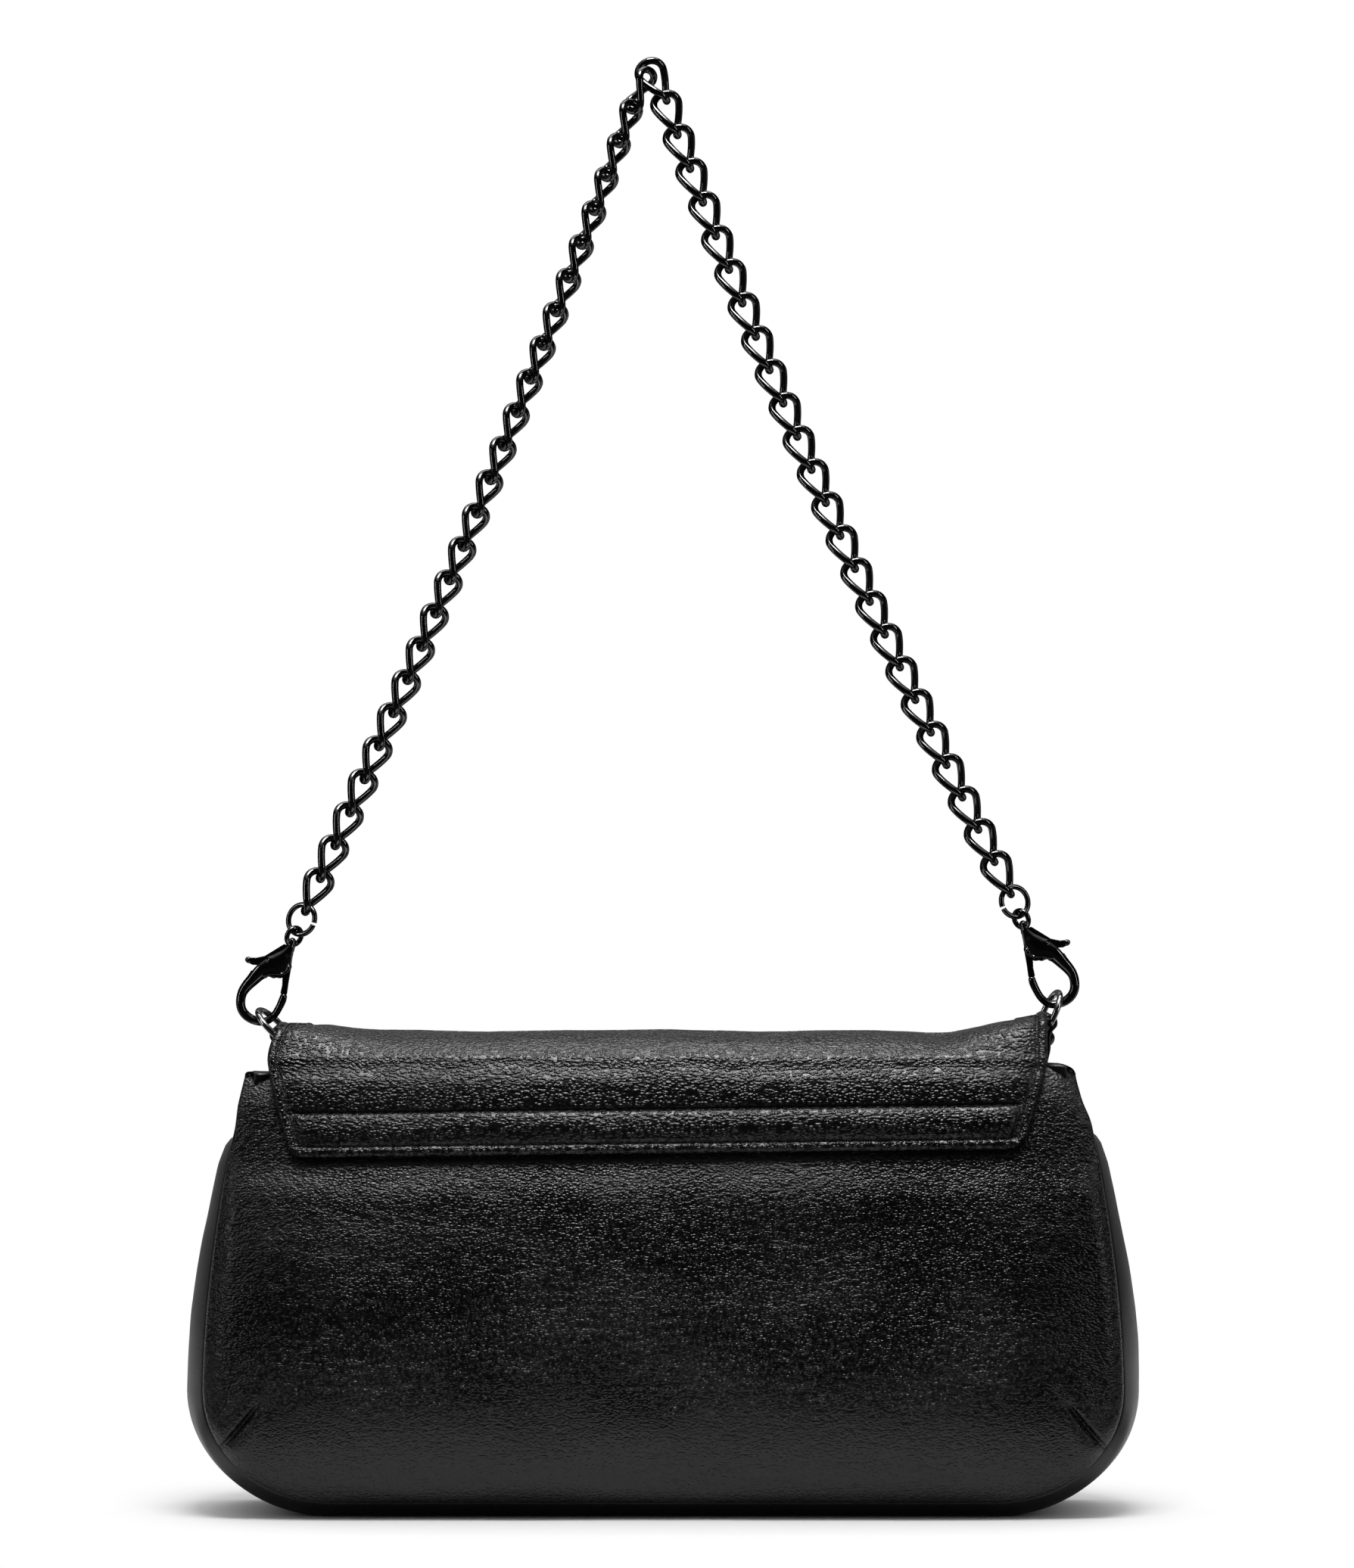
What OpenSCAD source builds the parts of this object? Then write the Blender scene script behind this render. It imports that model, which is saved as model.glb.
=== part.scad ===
// Small leather shoulder bag with a fold-over flap and a curb chain strap.
// It stands on its base. The back faces -Y, the flap closes over the front, and +Z is up.

/* [Body] */
// Half width of the body along its seams
body_half_w = 129.5; // [110:0.5:150]
// Height of the mouth above the ground
body_h = 127; // [110:1:145]
// Height at which the lower corners begin
corner_z = 36; // [30:1:44]
// Width that the round of a lower corner takes
corner_w = 36; // [28:1:44]
// Height of the bottom seam above the ground
seam_z = 4.5; // [3.5:0.1:6]
// How much the sides draw in from the corners to the mouth
top_draw = 12; // [6:0.5:18]
// Half depth at the seams of the mouth
mouth_half_d = 15.5; // [13:0.5:19]
// Half depth at the bottom seam
base_half_d = 27; // [23:0.5:32]
// How far the back panel swells out past its seam
back_swell = 8.5; // [5:0.1:11]
// How far the front panel swells out past its seam
front_swell = 2.6; // [1:0.1:5]
// Thickness of the body leather
leather_t = 1.6; // [1:0.1:2]
// How far the sides of the gusset swell out past the seam
side_swell = 5.6; // [3:0.1:8]

/* [Lining] */
// Thickness of the lining
lining_t = 0.8; // [0.5:0.1:1.2]
// Thickness of the leather facing round the mouth
facing_t = 1.2; // [0.8:0.1:1.6]
// Height of the facing
facing_h = 13.6; // [8:0.1:20]
// Width of the slip pocket
pocket_w = 120; // [80:1:160]
// Height of the slip pocket
pocket_h = 58; // [40:1:70]
// Length of the board in the base
board_l = 178; // [140:1:184]
// Width of the board in the base
board_w = 34; // [24:1:35]
// Thickness of the board in the base
board_t = 2.4; // [1.5:0.1:3]

/* [Flap] */
// Thickness of the flap leather
flap_t = 1.3; // [1:0.1:1.6]
// Thickness of the flap lining
flap_lining_t = 0.7; // [0.5:0.1:0.9]
// Height of the mouth above the lower edge of the sewn rear part
yoke_h = 26.5; // [19:0.5:35]
// Half width of the rear part at its lower edge
yoke_half_w = 102.5; // [94:0.5:106]
// Half width of the flap at the rear fold
fold_half_w = 108; // [106:0.5:112]
// Half width of the flap between the clasps
crown_half_w = 102; // [92:0.5:102.5]
// Rise of the flap over the mouth, at the middle
crown_rise = 8.6; // [7:0.1:11]
// Extra rise of the flap at its two ends
corner_rise = 4.5; // [2:0.1:5]
// Height of the front part's lower edge
flap_z = 42; // [30:1:60]
// Half width of the front part at its lower edge
flap_half_w = 95; // [85:1:100]
// Radius of the front part's lower corners
flap_corner_r = 22; // [12:1:30]

/* [Snap] */
// Radius of the snap's two discs
snap_r = 7; // [5:0.5:9]
// Height of the snap's centre
snap_z = 66; // [60:1:76]
// Thickness of the socket disc
socket_t = 1.9; // [1.5:0.1:2.5]
// Thickness of the stud disc
stud_t = 1.3; // [1:0.1:1.8]

/* [Rings and clasps] */
// Distance of the ring tabs from the middle
tab_x = 108.6; // [108.2:0.1:112]
// Width of a ring tab
tab_w = 8.6; // [6:0.1:9.4]
// Height of the right D-ring's bar above the mouth
bar_rise_right = 12; // [10.5:0.5:18]
// Height of the left D-ring's bar above the mouth
bar_rise_left = 8.7; // [8.2:0.5:12.7]
// Lean of the right D-ring outwards
lean_right = 24; // [15:1:30]
// Lean of the left D-ring outwards
lean_left = 45; // [35:1:50]
// Wire thickness of a D-ring
ring_wire = 1.8; // [1.4:0.1:2]
// Radius of a D-ring, at its wire's middle
ring_r = 6; // [5.8:0.1:6.6]
// Length of a D-ring's straight legs
ring_leg = 3; // [2.6:0.1:4]
// Lean of the clasps from the vertical
clasp_tilt = 24; // [20:1:28]
// Length of a clasp from the eye's middle to the hook's end
clasp_l = 28.1; // [27:0.1:30]
// Thickness of the clasp body across its cheeks
clasp_t = 4.8; // [4.4:0.1:5.6]
// Wire thickness of a jump ring
jump_wire = 1.4; // [1.1:0.1:1.5]
// Radius of a jump ring, at its wire's middle
jump_r = 4.3; // [4.2:0.1:5]

/* [Chain] */
// Wire thickness of the chain
chain_wire = 2.06; // [1.7:0.02:2.2]
// Distance from link to link
link_pitch = 10.25; // [10.1:0.05:10.6]
// Length of a link, between the middles of its end wires
link_l = 12.6; // [12.4:0.1:13]
// Radius of a link's ends, at its wire's middle
link_r = 4.2; // [4:0.1:4.6]
// Twist of each end of a link
link_twist = -30; // [-36:1:-28]
// Links in each strand below its top link
strand_links = 24; // [23:1:26]
// Bow of the left strand
bow_left = 2.4; // [0:0.1:4]
// Bow of the right strand
bow_right = 3.5; // [0:0.1:5]

/* [Hidden] */

leather_colour = "#1c1c1e";
lining_colour = "#2b2b2e";
board_colour = "#6b5a48";
metal_colour = "#45454b";
bright_colour = "#6f6f76";

// Clearance between soft pieces that are sewn or laid together
soft_gap = 0.25;
// Clearance between metal pieces that stay put
metal_gap = 0.02;
// Overrun of a cut past the surface that it leaves
cut_over = 1;
left = -1;
right = 1;

// How the body's surfaces are divided
fold_steps = 3;
side_steps = 5;
corner_steps = 6;
base_steps = 6;
panel_steps = 8;
// Places across the gusset, in shares of its half width; it is flat on the ground up to the third of them
gusset_shares = [-1, -0.86, -0.707, -0.47, -0.235, 0, 0.235, 0.47, 0.707, 0.86, 1];

// Body

// Height over which the pillow of a panel rises from the bottom seam
pillow_h = 30;
// Share of the half width over which a panel's pillow rises from the side seams
pillow_share = 0.32;
// Height above which the swell of the panels dies away towards the mouth
swell_z = 40;
// Share of the swell that is left at the mouth
mouth_swell_share = 0.24;
// Thickness of one layer of a ring tab
tab_t = 1.3;
// The gusset folds inwards over this height, and is upright for the rest of the way to the mouth
fold_h = 21;
upright_h = 10;
fold_high_z = body_h - upright_h;
fold_low_z = fold_high_z - fold_h;
// Place of the strap from front to back
strap_y = -4;
// Power of the gusset's profile where it is folded in
fold_power = 6;
// Share of the seam's height, doubled, that the gusset drops so that it lies flat on the ground
base_drop_share = 2;

function clamp(t) = max(0, min(1, t));
function ease(a, b, x) = let(t = clamp((x - a) / (b - a))) t * t * (3 - 2 * t);
function puff(t) = 1 - pow(1 - clamp(t), 2.2);
function mix(a, b, t) = a + (b - a) * t;
function unit(v) = v / norm(v);

corner_h = corner_z - seam_z;

// Half width of the seam outline at height z, moved in by d
function half_w(z, d = 0) = z >= corner_z
    ? body_half_w - d - top_draw * pow((z - corner_z) / (body_h - corner_z), 1.7)
    : body_half_w - corner_w
        + (corner_w - d) * sqrt(max(0, 1 - pow((corner_z - z) / (corner_h - d), 2)));

// Half depth of the seams at height z
function seam_y(z) = mouth_half_d + (base_half_d - mouth_half_d) * (1 - pow(clamp(z / body_h), 2));

// Swell of a panel past its seams
function swell_at(x, z) = (1 - (1 - mouth_swell_share) * pow(clamp((z - swell_z) / (body_h - swell_z)), 1.3))
    * puff((1 - abs(x) / half_w(z)) / pillow_share) * puff((z - seam_z) / pillow_h);
function back_y(x, z) = -seam_y(z) - back_swell * swell_at(x, z);
function front_y(x, z) = seam_y(z) + front_swell * swell_at(x, z);

// Half width of the body between the folds of the gusset: a ring tab's outer edge is clear of the fold
tab_edge_share = (tab_w / 2 - strap_y) / (mouth_half_d - leather_t - soft_gap);
tab_edge_rise = lookup(tab_edge_share, [for (v = gusset_shares) if (v >= 0) [v, pow(v, fold_power)]]);
fold_x = (tab_x - tab_t - soft_gap - tab_edge_rise * half_w(body_h)) / (1 - tab_edge_rise);

// Heights of the stations along a side, from the mouth down
side_levels = concat([body_h],
    [for (i = [0 : fold_steps]) mix(fold_high_z, fold_low_z, i / fold_steps)],
    [for (i = [1 : side_steps]) mix(fold_low_z, corner_z, i / side_steps)]);

// Stations along the seams, from the left of the mouth round the base to the right: [x, z, nx, nz]
half_stations = concat(
    [for (z = side_levels) [half_w(z), z, 1, 0]],
    [for (i = [1 : corner_steps]) let(a = i * 90 / corner_steps)
        [body_half_w - corner_w + corner_w * cos(a), corner_z - corner_h * sin(a), cos(a), -sin(a)]]);
base_stations = [for (i = [1 : base_steps - 1])
    [mix(-1, 1, i / base_steps) * (body_half_w - corner_w), seam_z, 0, -1]];
stations = concat(
    [for (s = half_stations) [-s[0], s[1], -s[2], s[3]]],
    base_stations,
    [for (i = [len(half_stations) - 1 : -1 : 0]) half_stations[i]]);

// A closed sheet between two grids of points
module slab(a, b) {
    n = len(a);
    m = len(a[0]);
    flat = concat([for (row = a) for (p = row) p], [for (row = b) for (p = row) p]);
    function pa(i, j) = i * m + j;
    function pb(i, j) = n * m + i * m + j;
    faces = concat(
        [for (i = [0 : n - 2]) for (j = [0 : m - 2]) each [
            [pa(i, j), pa(i + 1, j), pa(i + 1, j + 1)],
            [pa(i, j), pa(i + 1, j + 1), pa(i, j + 1)],
            [pb(i, j), pb(i + 1, j + 1), pb(i + 1, j)],
            [pb(i, j), pb(i, j + 1), pb(i + 1, j + 1)]]],
        [for (i = [0 : n - 2]) each [
            [pa(i + 1, 0), pa(i, 0), pb(i, 0)],
            [pa(i + 1, 0), pb(i, 0), pb(i + 1, 0)],
            [pa(i, m - 1), pa(i + 1, m - 1), pb(i + 1, m - 1)],
            [pa(i, m - 1), pb(i + 1, m - 1), pb(i, m - 1)]]],
        [for (j = [0 : m - 2]) each [
            [pa(0, j), pa(0, j + 1), pb(0, j + 1)],
            [pa(0, j), pb(0, j + 1), pb(0, j)],
            [pa(n - 1, j + 1), pa(n - 1, j), pb(n - 1, j)],
            [pa(n - 1, j + 1), pb(n - 1, j), pb(n - 1, j + 1)]]]);
    polyhedron(flat, faces);
}

// A closed band between two stacks of loops; with a floor it is a cup
module band(a, b, floor = false) {
    n = len(a);
    m = len(a[0]);
    flat = concat([for (row = a) for (p = row) p], [for (row = b) for (p = row) p],
        [[0, 0, a[n - 1][0][2]], [0, 0, b[n - 1][0][2]]]);
    function pa(i, j) = i * m + j % m;
    function pb(i, j) = n * m + i * m + j % m;
    walls = [for (i = [0 : n - 2]) for (j = [0 : m - 1]) each [
        [pa(i, j), pa(i + 1, j), pa(i + 1, j + 1)],
        [pa(i, j), pa(i + 1, j + 1), pa(i, j + 1)],
        [pb(i, j), pb(i + 1, j + 1), pb(i + 1, j)],
        [pb(i, j), pb(i, j + 1), pb(i + 1, j + 1)]]];
    top = [for (j = [0 : m - 1]) each [
        [pa(0, j), pa(0, j + 1), pb(0, j + 1)],
        [pa(0, j), pb(0, j + 1), pb(0, j)]]];
    base = floor
        ? [for (j = [0 : m - 1]) each [
            [pa(n - 1, j + 1), pa(n - 1, j), 2 * n * m],
            [pb(n - 1, j), pb(n - 1, j + 1), 2 * n * m + 1]]]
        : [for (j = [0 : m - 1]) each [
            [pa(n - 1, j + 1), pa(n - 1, j), pb(n - 1, j)],
            [pa(n - 1, j + 1), pb(n - 1, j), pb(n - 1, j + 1)]]];
    points = floor ? flat : [for (i = [0 : 2 * n * m - 1]) flat[i]];
    polyhedron(points, concat(walls, top, base));
}

// Grid of a panel: each seam station runs to its own place along the mouth
function panel_grid(face, d) = let(last = len(stations) - 1, reach = half_w(body_h) - leather_t)
    [for (i = [0 : last]) let(s = stations[i], tx = mix(-reach, reach, i / last))
        [for (j = [0 : panel_steps]) let(
                r = pow(j / panel_steps, 1.3),
                x = mix(s[0], tx, r),
                z = mix(s[1], body_h, r))
            [x, face == "back" ? back_y(x, z) + d : front_y(x, z) - d, z]]];

module back_panel() {
    color(leather_colour)
        slab(panel_grid("back", leather_t), panel_grid("back", 0));
}

module front_panel() {
    color(leather_colour)
        slab(panel_grid("front", 0), panel_grid("front", leather_t));
}

// Point of the gusset at a station and at share v of its half width, moved in by d
function gusset_at(s, v, d) = let(
        k = ease(fold_low_z, fold_high_z, s[1]),
        base = -s[3],
        swell = side_swell * (1 - k) * (1 - v * v) * (1 - base)
            + k * (fold_x - abs(s[0])) * (1 - pow(v, fold_power)),
        drop = base * min(seam_z, base_drop_share * seam_z * (1 - v * v)),
        out = swell + drop - d)
    [s[0] + s[2] * out, v * (seam_y(s[1]) - leather_t - soft_gap), s[1] + s[3] * out];

function gusset_grid(d) = [for (s = stations) [for (v = gusset_shares) gusset_at(s, v, d)]];

module gusset() {
    color(leather_colour)
        slab(gusset_grid(leather_t), gusset_grid(0));
}

// Lining and facing

// Divisions of a level loop inside the body
loop_steps = 10;
loop_side_shares = [for (i = [1 : len(gusset_shares) - 2]) gusset_shares[i]];

// Level loop inside the body at height z, moved in by d
function loop_at(z, d) = let(
        w = half_w(z, d),
        k = ease(fold_low_z, fold_high_z, z),
        fold = k * (fold_x - d - w),
        yb = seam_y(z) - d)
    concat(
        [for (i = [0 : loop_steps]) let(x = mix(-w, w, i / loop_steps)) [x, back_y(x, z) + d, z]],
        [for (v = loop_side_shares) [w + fold * (1 - pow(v, fold_power)), v * yb, z]],
        [for (i = [0 : loop_steps]) let(x = mix(w, -w, i / loop_steps)) [x, front_y(x, z) - d, z]],
        [for (v = loop_side_shares) [-w - fold * (1 - pow(v, fold_power)), -v * yb, z]]);

// The snap's washer lies between the front panel and the lining
washer_t = 0.5;
washer_gap = 0.2;
lining_out = leather_t + washer_t + 2 * washer_gap;
lining_in = lining_out + lining_t;
lining_top = body_h - facing_h - soft_gap;
lining_corner_steps = 5;

// Height of the gusset's inner side over the base, at distance x from the middle and at depth y
function gusset_floor(x, y) = lookup(x, [for (s = stations) if (s[0] >= 0 && s[1] <= corner_z) let(
        across = [for (v = gusset_shares) if (v >= 0) gusset_at(s, v, leather_t)])
    [across[0][0], lookup(y, [for (p = across) [p[1], p[2]]])]]);

// The board lies on the gusset, and the lining's floor is clear of the board
board_z = soft_gap + max([for (x = [0, board_l / 2]) for (y = [0, board_w / 2]) gusset_floor(x, y)]);
// Angle down the lower corners at which the lining's floor lies
floor_most_angle = 76;
floor_angle = min(floor_most_angle,
    asin(clamp((corner_z - board_z - board_t - soft_gap) / (corner_h - lining_out))));

// Heights of the lining's loops, moved in by d
function lining_levels(d) = concat(
    [lining_top],
    [for (z = side_levels) if (z < lining_top) z],
    [for (i = [1 : lining_corner_steps])
        corner_z - (corner_h - d) * sin(floor_angle * i / lining_corner_steps)]);

module lining() {
    color(lining_colour)
        band([for (z = lining_levels(lining_in)) loop_at(z, lining_in)],
            [for (z = lining_levels(lining_out)) loop_at(z, lining_out)], floor = true);
}

facing_levels = [for (t = [0, 0.5, 1]) mix(body_h - soft_gap, body_h - facing_h, t)];

// The facing is a strip whose ends meet at the middle of the left side
facing_join = 2 * (loop_steps + 1) + len(loop_side_shares) + floor(len(loop_side_shares) / 2);
function strip(loop) = concat(
    [loop[facing_join] - [0, soft_gap / 2, 0]],
    [for (k = [1 : len(loop) - 1]) loop[(facing_join + k) % len(loop)]],
    [loop[facing_join] + [0, soft_gap / 2, 0]]);

module mouth_facing() {
    d = leather_t + soft_gap;
    color(leather_colour)
        slab([for (z = facing_levels) strip(loop_at(z, d + facing_t))],
            [for (z = facing_levels) strip(loop_at(z, d))]);
}

module base_board() {
    color(board_colour)
        translate([-board_l / 2, -board_w / 2, board_z])
            cube([board_l, board_w, board_t]);
}

// Distance of the pocket's mouth below the lining's top
pocket_drop = 15.15;
pocket_z = lining_top - pocket_drop - pocket_h;

function pocket_grid(d) = [for (i = [0 : 8]) let(x = mix(-pocket_w, pocket_w, i / 8) / 2)
    [for (j = [0 : 5]) let(z = mix(pocket_z, pocket_z + pocket_h, j / 5)) [x, back_y(x, z) + d, z]]];

module slip_pocket() {
    d = lining_in + soft_gap;
    color(lining_colour)
        slab(pocket_grid(d + lining_t), pocket_grid(d));
}

// Flap

// The flap is leather over a lining, and the stud's washer lies between them
fill_gap = washer_t + washer_gap;
flap_stack = flap_t + fill_gap + flap_lining_t;
// The rear fold stands this far above the mouth
fold_over = 1;
fold_z = body_h + fold_over;
yoke_z = body_h - yoke_h;
// Place of the rear fold, at the outside of the leather
fold_y = back_y(0, body_h) - soft_gap - flap_stack;
// Heights of the padded band along the lower edge of the rear part
band_low_share = 0.1;
band_high_share = 0.46;
band_swell = 1;
flap_steps = 16;
yoke_steps = 9;
yoke_corner_r = 3;
// Gap between the two moving parts of the flap at rest, and at the rear fold
hinge_gap = 0.3;

function yoke_half(t) = mix(yoke_half_w, fold_half_w, ease(0, 0.9, t))
    - yoke_corner_r * (1 - sqrt(1 - pow(1 - clamp(t * (fold_z - yoke_z) / yoke_corner_r), 2)));
function yoke_back(x, z) = min(back_y(x, min(z, body_h)), fold_y + soft_gap + flap_stack);
function yoke_grid(d) = [for (i = [0 : flap_steps]) let(u = 2 * i / flap_steps - 1)
    [for (j = [0 : yoke_steps]) let(
            t = j / yoke_steps,
            z = mix(yoke_z, fold_z - hinge_gap / 2, t),
            x = u * yoke_half(t),
            pad = band_swell * sin(180 * clamp((t - band_low_share) / (band_high_share - band_low_share))))
        [x, yoke_back(x, z) - soft_gap - (d > 0 ? d + pad : 0), z]]];

module flap_yoke() {
    color(leather_colour)
        slab(yoke_grid(0), yoke_grid(flap_stack));
}

// Side view of the flap over the mouth, in shares of its half depth and of its rise
crown_shares = [[-1, 0], [-0.99, 0.24], [-0.95, 0.5], [-0.84, 0.74], [-0.66, 0.89], [-0.4, 0.97], [-0.1, 1],
    [0.25, 0.99], [0.52, 0.93], [0.74, 0.8], [0.89, 0.62], [0.97, 0.43]];
crown_half_d = -fold_y;
// The extra rise at the ends dies away between these shares of the half depth
rise_from_share = -0.2;
rise_to_share = 0.9;

// The flap narrows between the clasps, over these shares of its half depth
neck_from_share = -0.62;
neck_to_share = -0.34;
function crown_half(y_share) = mix(fold_half_w, crown_half_w, ease(neck_from_share, neck_to_share, y_share));

// Outer profile of the flap over the mouth at share u of its half width: [y, z]
function crown_profile(u) = [for (s = crown_shares)
    let(rise = crown_rise + corner_rise * pow(u, 4) * (1 - ease(rise_from_share, rise_to_share, s[0])))
        [s[0] * crown_half_d, fold_z + s[1] * rise]];

// The same profile moved in by d
function inset_profile(p, d) = [for (i = [0 : len(p) - 1]) let(
        a = p[max(0, i - 1)], b = p[min(len(p) - 1, i + 1)], t = unit(b - a))
    i == 0 ? p[i] + [d, 0] : p[i] + d * [t[1], -t[0]]];

function crown_grid(d) = [for (i = [0 : flap_steps]) let(
        u = 2 * i / flap_steps - 1, p = inset_profile(crown_profile(u), d))
    [for (j = [0 : len(p) - 1])
        [u * crown_half(crown_shares[j][0]), p[j][0], p[j][1] + (j == 0 ? hinge_gap / 2 : 0)]]];

module flap_crown() {
    color(leather_colour)
        slab(crown_grid(flap_t), crown_grid(0));
}

module flap_crown_lining() {
    color(lining_colour)
        slab(crown_grid(flap_stack), crown_grid(flap_t + fill_gap));
}

// Front fold: the axis lies on the outside of the leather, between the two moving parts
crown_end = crown_profile(0)[len(crown_shares) - 1];
crown_before = crown_profile(0)[len(crown_shares) - 2];
crown_dir = unit(crown_end - crown_before);
front_drop = 1;
front_fold = crown_end + front_drop * crown_dir;

// Space between the front panel and the flap's lining, at the mouth and at the snap
flap_gap_top = 1.2;
flap_gap_low = socket_t + stud_t + 3 * soft_gap;
front_steps = 11;
// Slope of the front part's top end, and the height over which it settles on the front panel
front_slope = -76;
settle_h = 22;
// The flap stands off for the snap up to this distance above its discs
snap_clear = 9;

function flap_gap(z) = mix(flap_gap_low, flap_gap_top, ease(snap_z + snap_r + snap_clear, body_h, z));
front_top = front_fold + front_drop * [cos(front_slope), sin(front_slope)];
function front_out(x, z) = let(
        panel = front_y(x, min(z, body_h)) + flap_gap(z) + flap_stack,
        start = front_top[0] + (front_top[1] - z) * cos(front_slope) / -sin(front_slope))
    mix(panel, start, ease(front_top[1] - settle_h, front_top[1], z));
function front_half(z) = let(t = (z - flap_z) / (front_top[1] - flap_z))
    mix(flap_half_w, crown_half_w, ease(0, 0.8, t))
        - flap_corner_r * (1 - sqrt(1 - pow(1 - clamp((z - flap_z) / flap_corner_r), 2)));
front_level_shares = [for (j = [0 : front_steps]) pow(j / front_steps, 1.5)];
// The front lining ends this share of the flap's thickness lower than the leather, clear of the crown's lining
lining_short_share = 0.5;
front_lining_top = front_top[1] - lining_short_share * flap_stack;
function front_grid(d, top) = [for (i = [0 : flap_steps]) let(u = 2 * i / flap_steps - 1)
    [for (s = front_level_shares) let(z = mix(flap_z, top, s), x = u * front_half(z))
        [x, front_out(x, z) - d, z]]];

module flap_front() {
    color(leather_colour)
        slab(front_grid(0, front_top[1]), front_grid(flap_t, front_top[1]));
}

module flap_front_lining() {
    color(lining_colour)
        slab(front_grid(flap_t + fill_gap, front_lining_top), front_grid(flap_stack, front_lining_top));
}

// Snap

socket_bore_r = 2.7;
stud_boss_r = 2;
washer_share = 0.85;
boss_share = 0.85;
// Lean of the front panel at the snap
snap_lean = atan((front_y(0, snap_z - snap_r) - front_y(0, snap_z + snap_r)) / (2 * snap_r));
// Distances from the front panel, square to it, of the two sides of the flap's lining
flap_at = flap_gap_low * cos(snap_lean);
flap_fill_at = (flap_gap_low + flap_lining_t) * cos(snap_lean);

// Disc at distance d from the front panel, square to it
module snap_disc(d, r, t) {
    translate([0, front_y(0, snap_z), snap_z])
        rotate([snap_lean - 90, 0, 0])
            translate([0, 0, d])
                cylinder(h = t, r = r, $fn = 64);
}

module snap_socket() {
    color(bright_colour)
        difference() {
            snap_disc(soft_gap, snap_r, socket_t);
            snap_disc(soft_gap - cut_over, socket_bore_r, socket_t + 2 * cut_over);
        }
}

module snap_socket_washer() {
    color(bright_colour)
        snap_disc(-leather_t - washer_gap - washer_t, snap_r * washer_share, washer_t);
}

module snap_stud() {
    d = flap_at - soft_gap - stud_t;
    color(bright_colour) {
        snap_disc(d, snap_r, stud_t);
        snap_disc(d - socket_t * boss_share, stud_boss_r, socket_t);
    }
}

module snap_stud_washer() {
    color(bright_colour)
        snap_disc(flap_fill_at + washer_gap / 2, snap_r * washer_share, washer_t);
}

// Ring tabs, rivets and D-rings

tab_play = 0.2;
tab_bore_r = ring_wire / 2 + tab_play;
// Length of a tab that lies on the gusset
tab_seat = 8;
tab_low_z = body_h - tab_seat;
rivet_r = 1;
rivet_cap_r = 2.15;
rivet_dome = 1.3;
rivet_foot = 0.5;
rivet_drop = 4.7;

function bar_z(side) = body_h + (side == left ? bar_rise_left : bar_rise_right);
function lean(side) = side == left ? lean_left : lean_right;

// Moves what is drawn to a place in the strap's plane, for a side
module at_side(side, x, z) {
    translate([side * x, strap_y, z])
        children();
}

module ring_tab(side) {
    z = bar_z(side);
    color(leather_colour)
        at_side(side, tab_x, z)
            difference() {
                union() {
                    rotate([90, 0, 0])
                        cylinder(h = tab_w, r = tab_bore_r + tab_t, center = true, $fn = 64);
                    translate([-tab_t, -tab_w / 2, tab_low_z - z])
                        cube([2 * tab_t, tab_w, z - tab_low_z]);
                }
                rotate([90, 0, 0])
                    cylinder(h = tab_w + 2 * cut_over, r = tab_bore_r, center = true, $fn = 64);
                translate([0, 0, -rivet_drop])
                    rotate([0, 90, 0])
                        cylinder(h = 2 * (tab_t + cut_over), r = rivet_r, center = true, $fn = 48);
            }
}

module rivet(side) {
    dome_r = (rivet_cap_r * rivet_cap_r + rivet_dome * rivet_dome) / (2 * rivet_dome);
    color(metal_colour)
        at_side(side, tab_x, bar_z(side) - rivet_drop)
            rotate([0, side * 90, 0]) {
                cylinder(h = 2 * tab_t + 2 * metal_gap, r = rivet_r - metal_gap, center = true, $fn = 48);
                translate([0, 0, tab_t + metal_gap])
                    rotate_extrude($fn = 64)
                        intersection() {
                            translate([0, rivet_dome - dome_r])
                                circle(r = dome_r, $fn = 96);
                            square([rivet_cap_r, rivet_dome]);
                        }
                translate([0, 0, -tab_t - metal_gap - rivet_foot])
                    cylinder(h = rivet_foot, r = rivet_cap_r, $fn = 64);
            }
}

// Part of a ring of wire, from angle 0 to the given angle, in the XZ plane
module wire_arc(r, wire, angle) {
    rotate([90, 0, 0])
        rotate_extrude(angle = angle, $fn = 96)
            translate([r, 0])
                circle(d = wire, $fn = 48);
}

module rod(a, b, wire) {
    v = b - a;
    translate(a)
        rotate([0, acos(v[2] / norm(v)), atan2(v[1], v[0])])
            cylinder(h = norm(v), d = wire, $fn = 48);
}

// A joint of two wires is a ball a little thicker than they are
ball_share = 1.06;
module ball(p, wire) {
    translate(p)
        sphere(d = wire * ball_share, $fn = 48);
}

// D-ring with its bar along Y at the origin and its round end up
module d_ring_shape() {
    rod([0, -ring_r, 0], [0, ring_r, 0], ring_wire);
    for (s = [left, right]) {
        rod([0, s * ring_r, 0], [0, s * ring_r, ring_leg], ring_wire);
        ball([0, s * ring_r, 0], ring_wire);
        ball([0, s * ring_r, ring_leg], ring_wire);
    }
    translate([0, 0, ring_leg])
        rotate([0, 0, 90])
            wire_arc(ring_r, ring_wire, 180);
}

module d_ring(side) {
    color(bright_colour)
        at_side(side, tab_x, bar_z(side))
            rotate([0, side * lean(side), 0])
                d_ring_shape();
}

// Clasps

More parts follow.
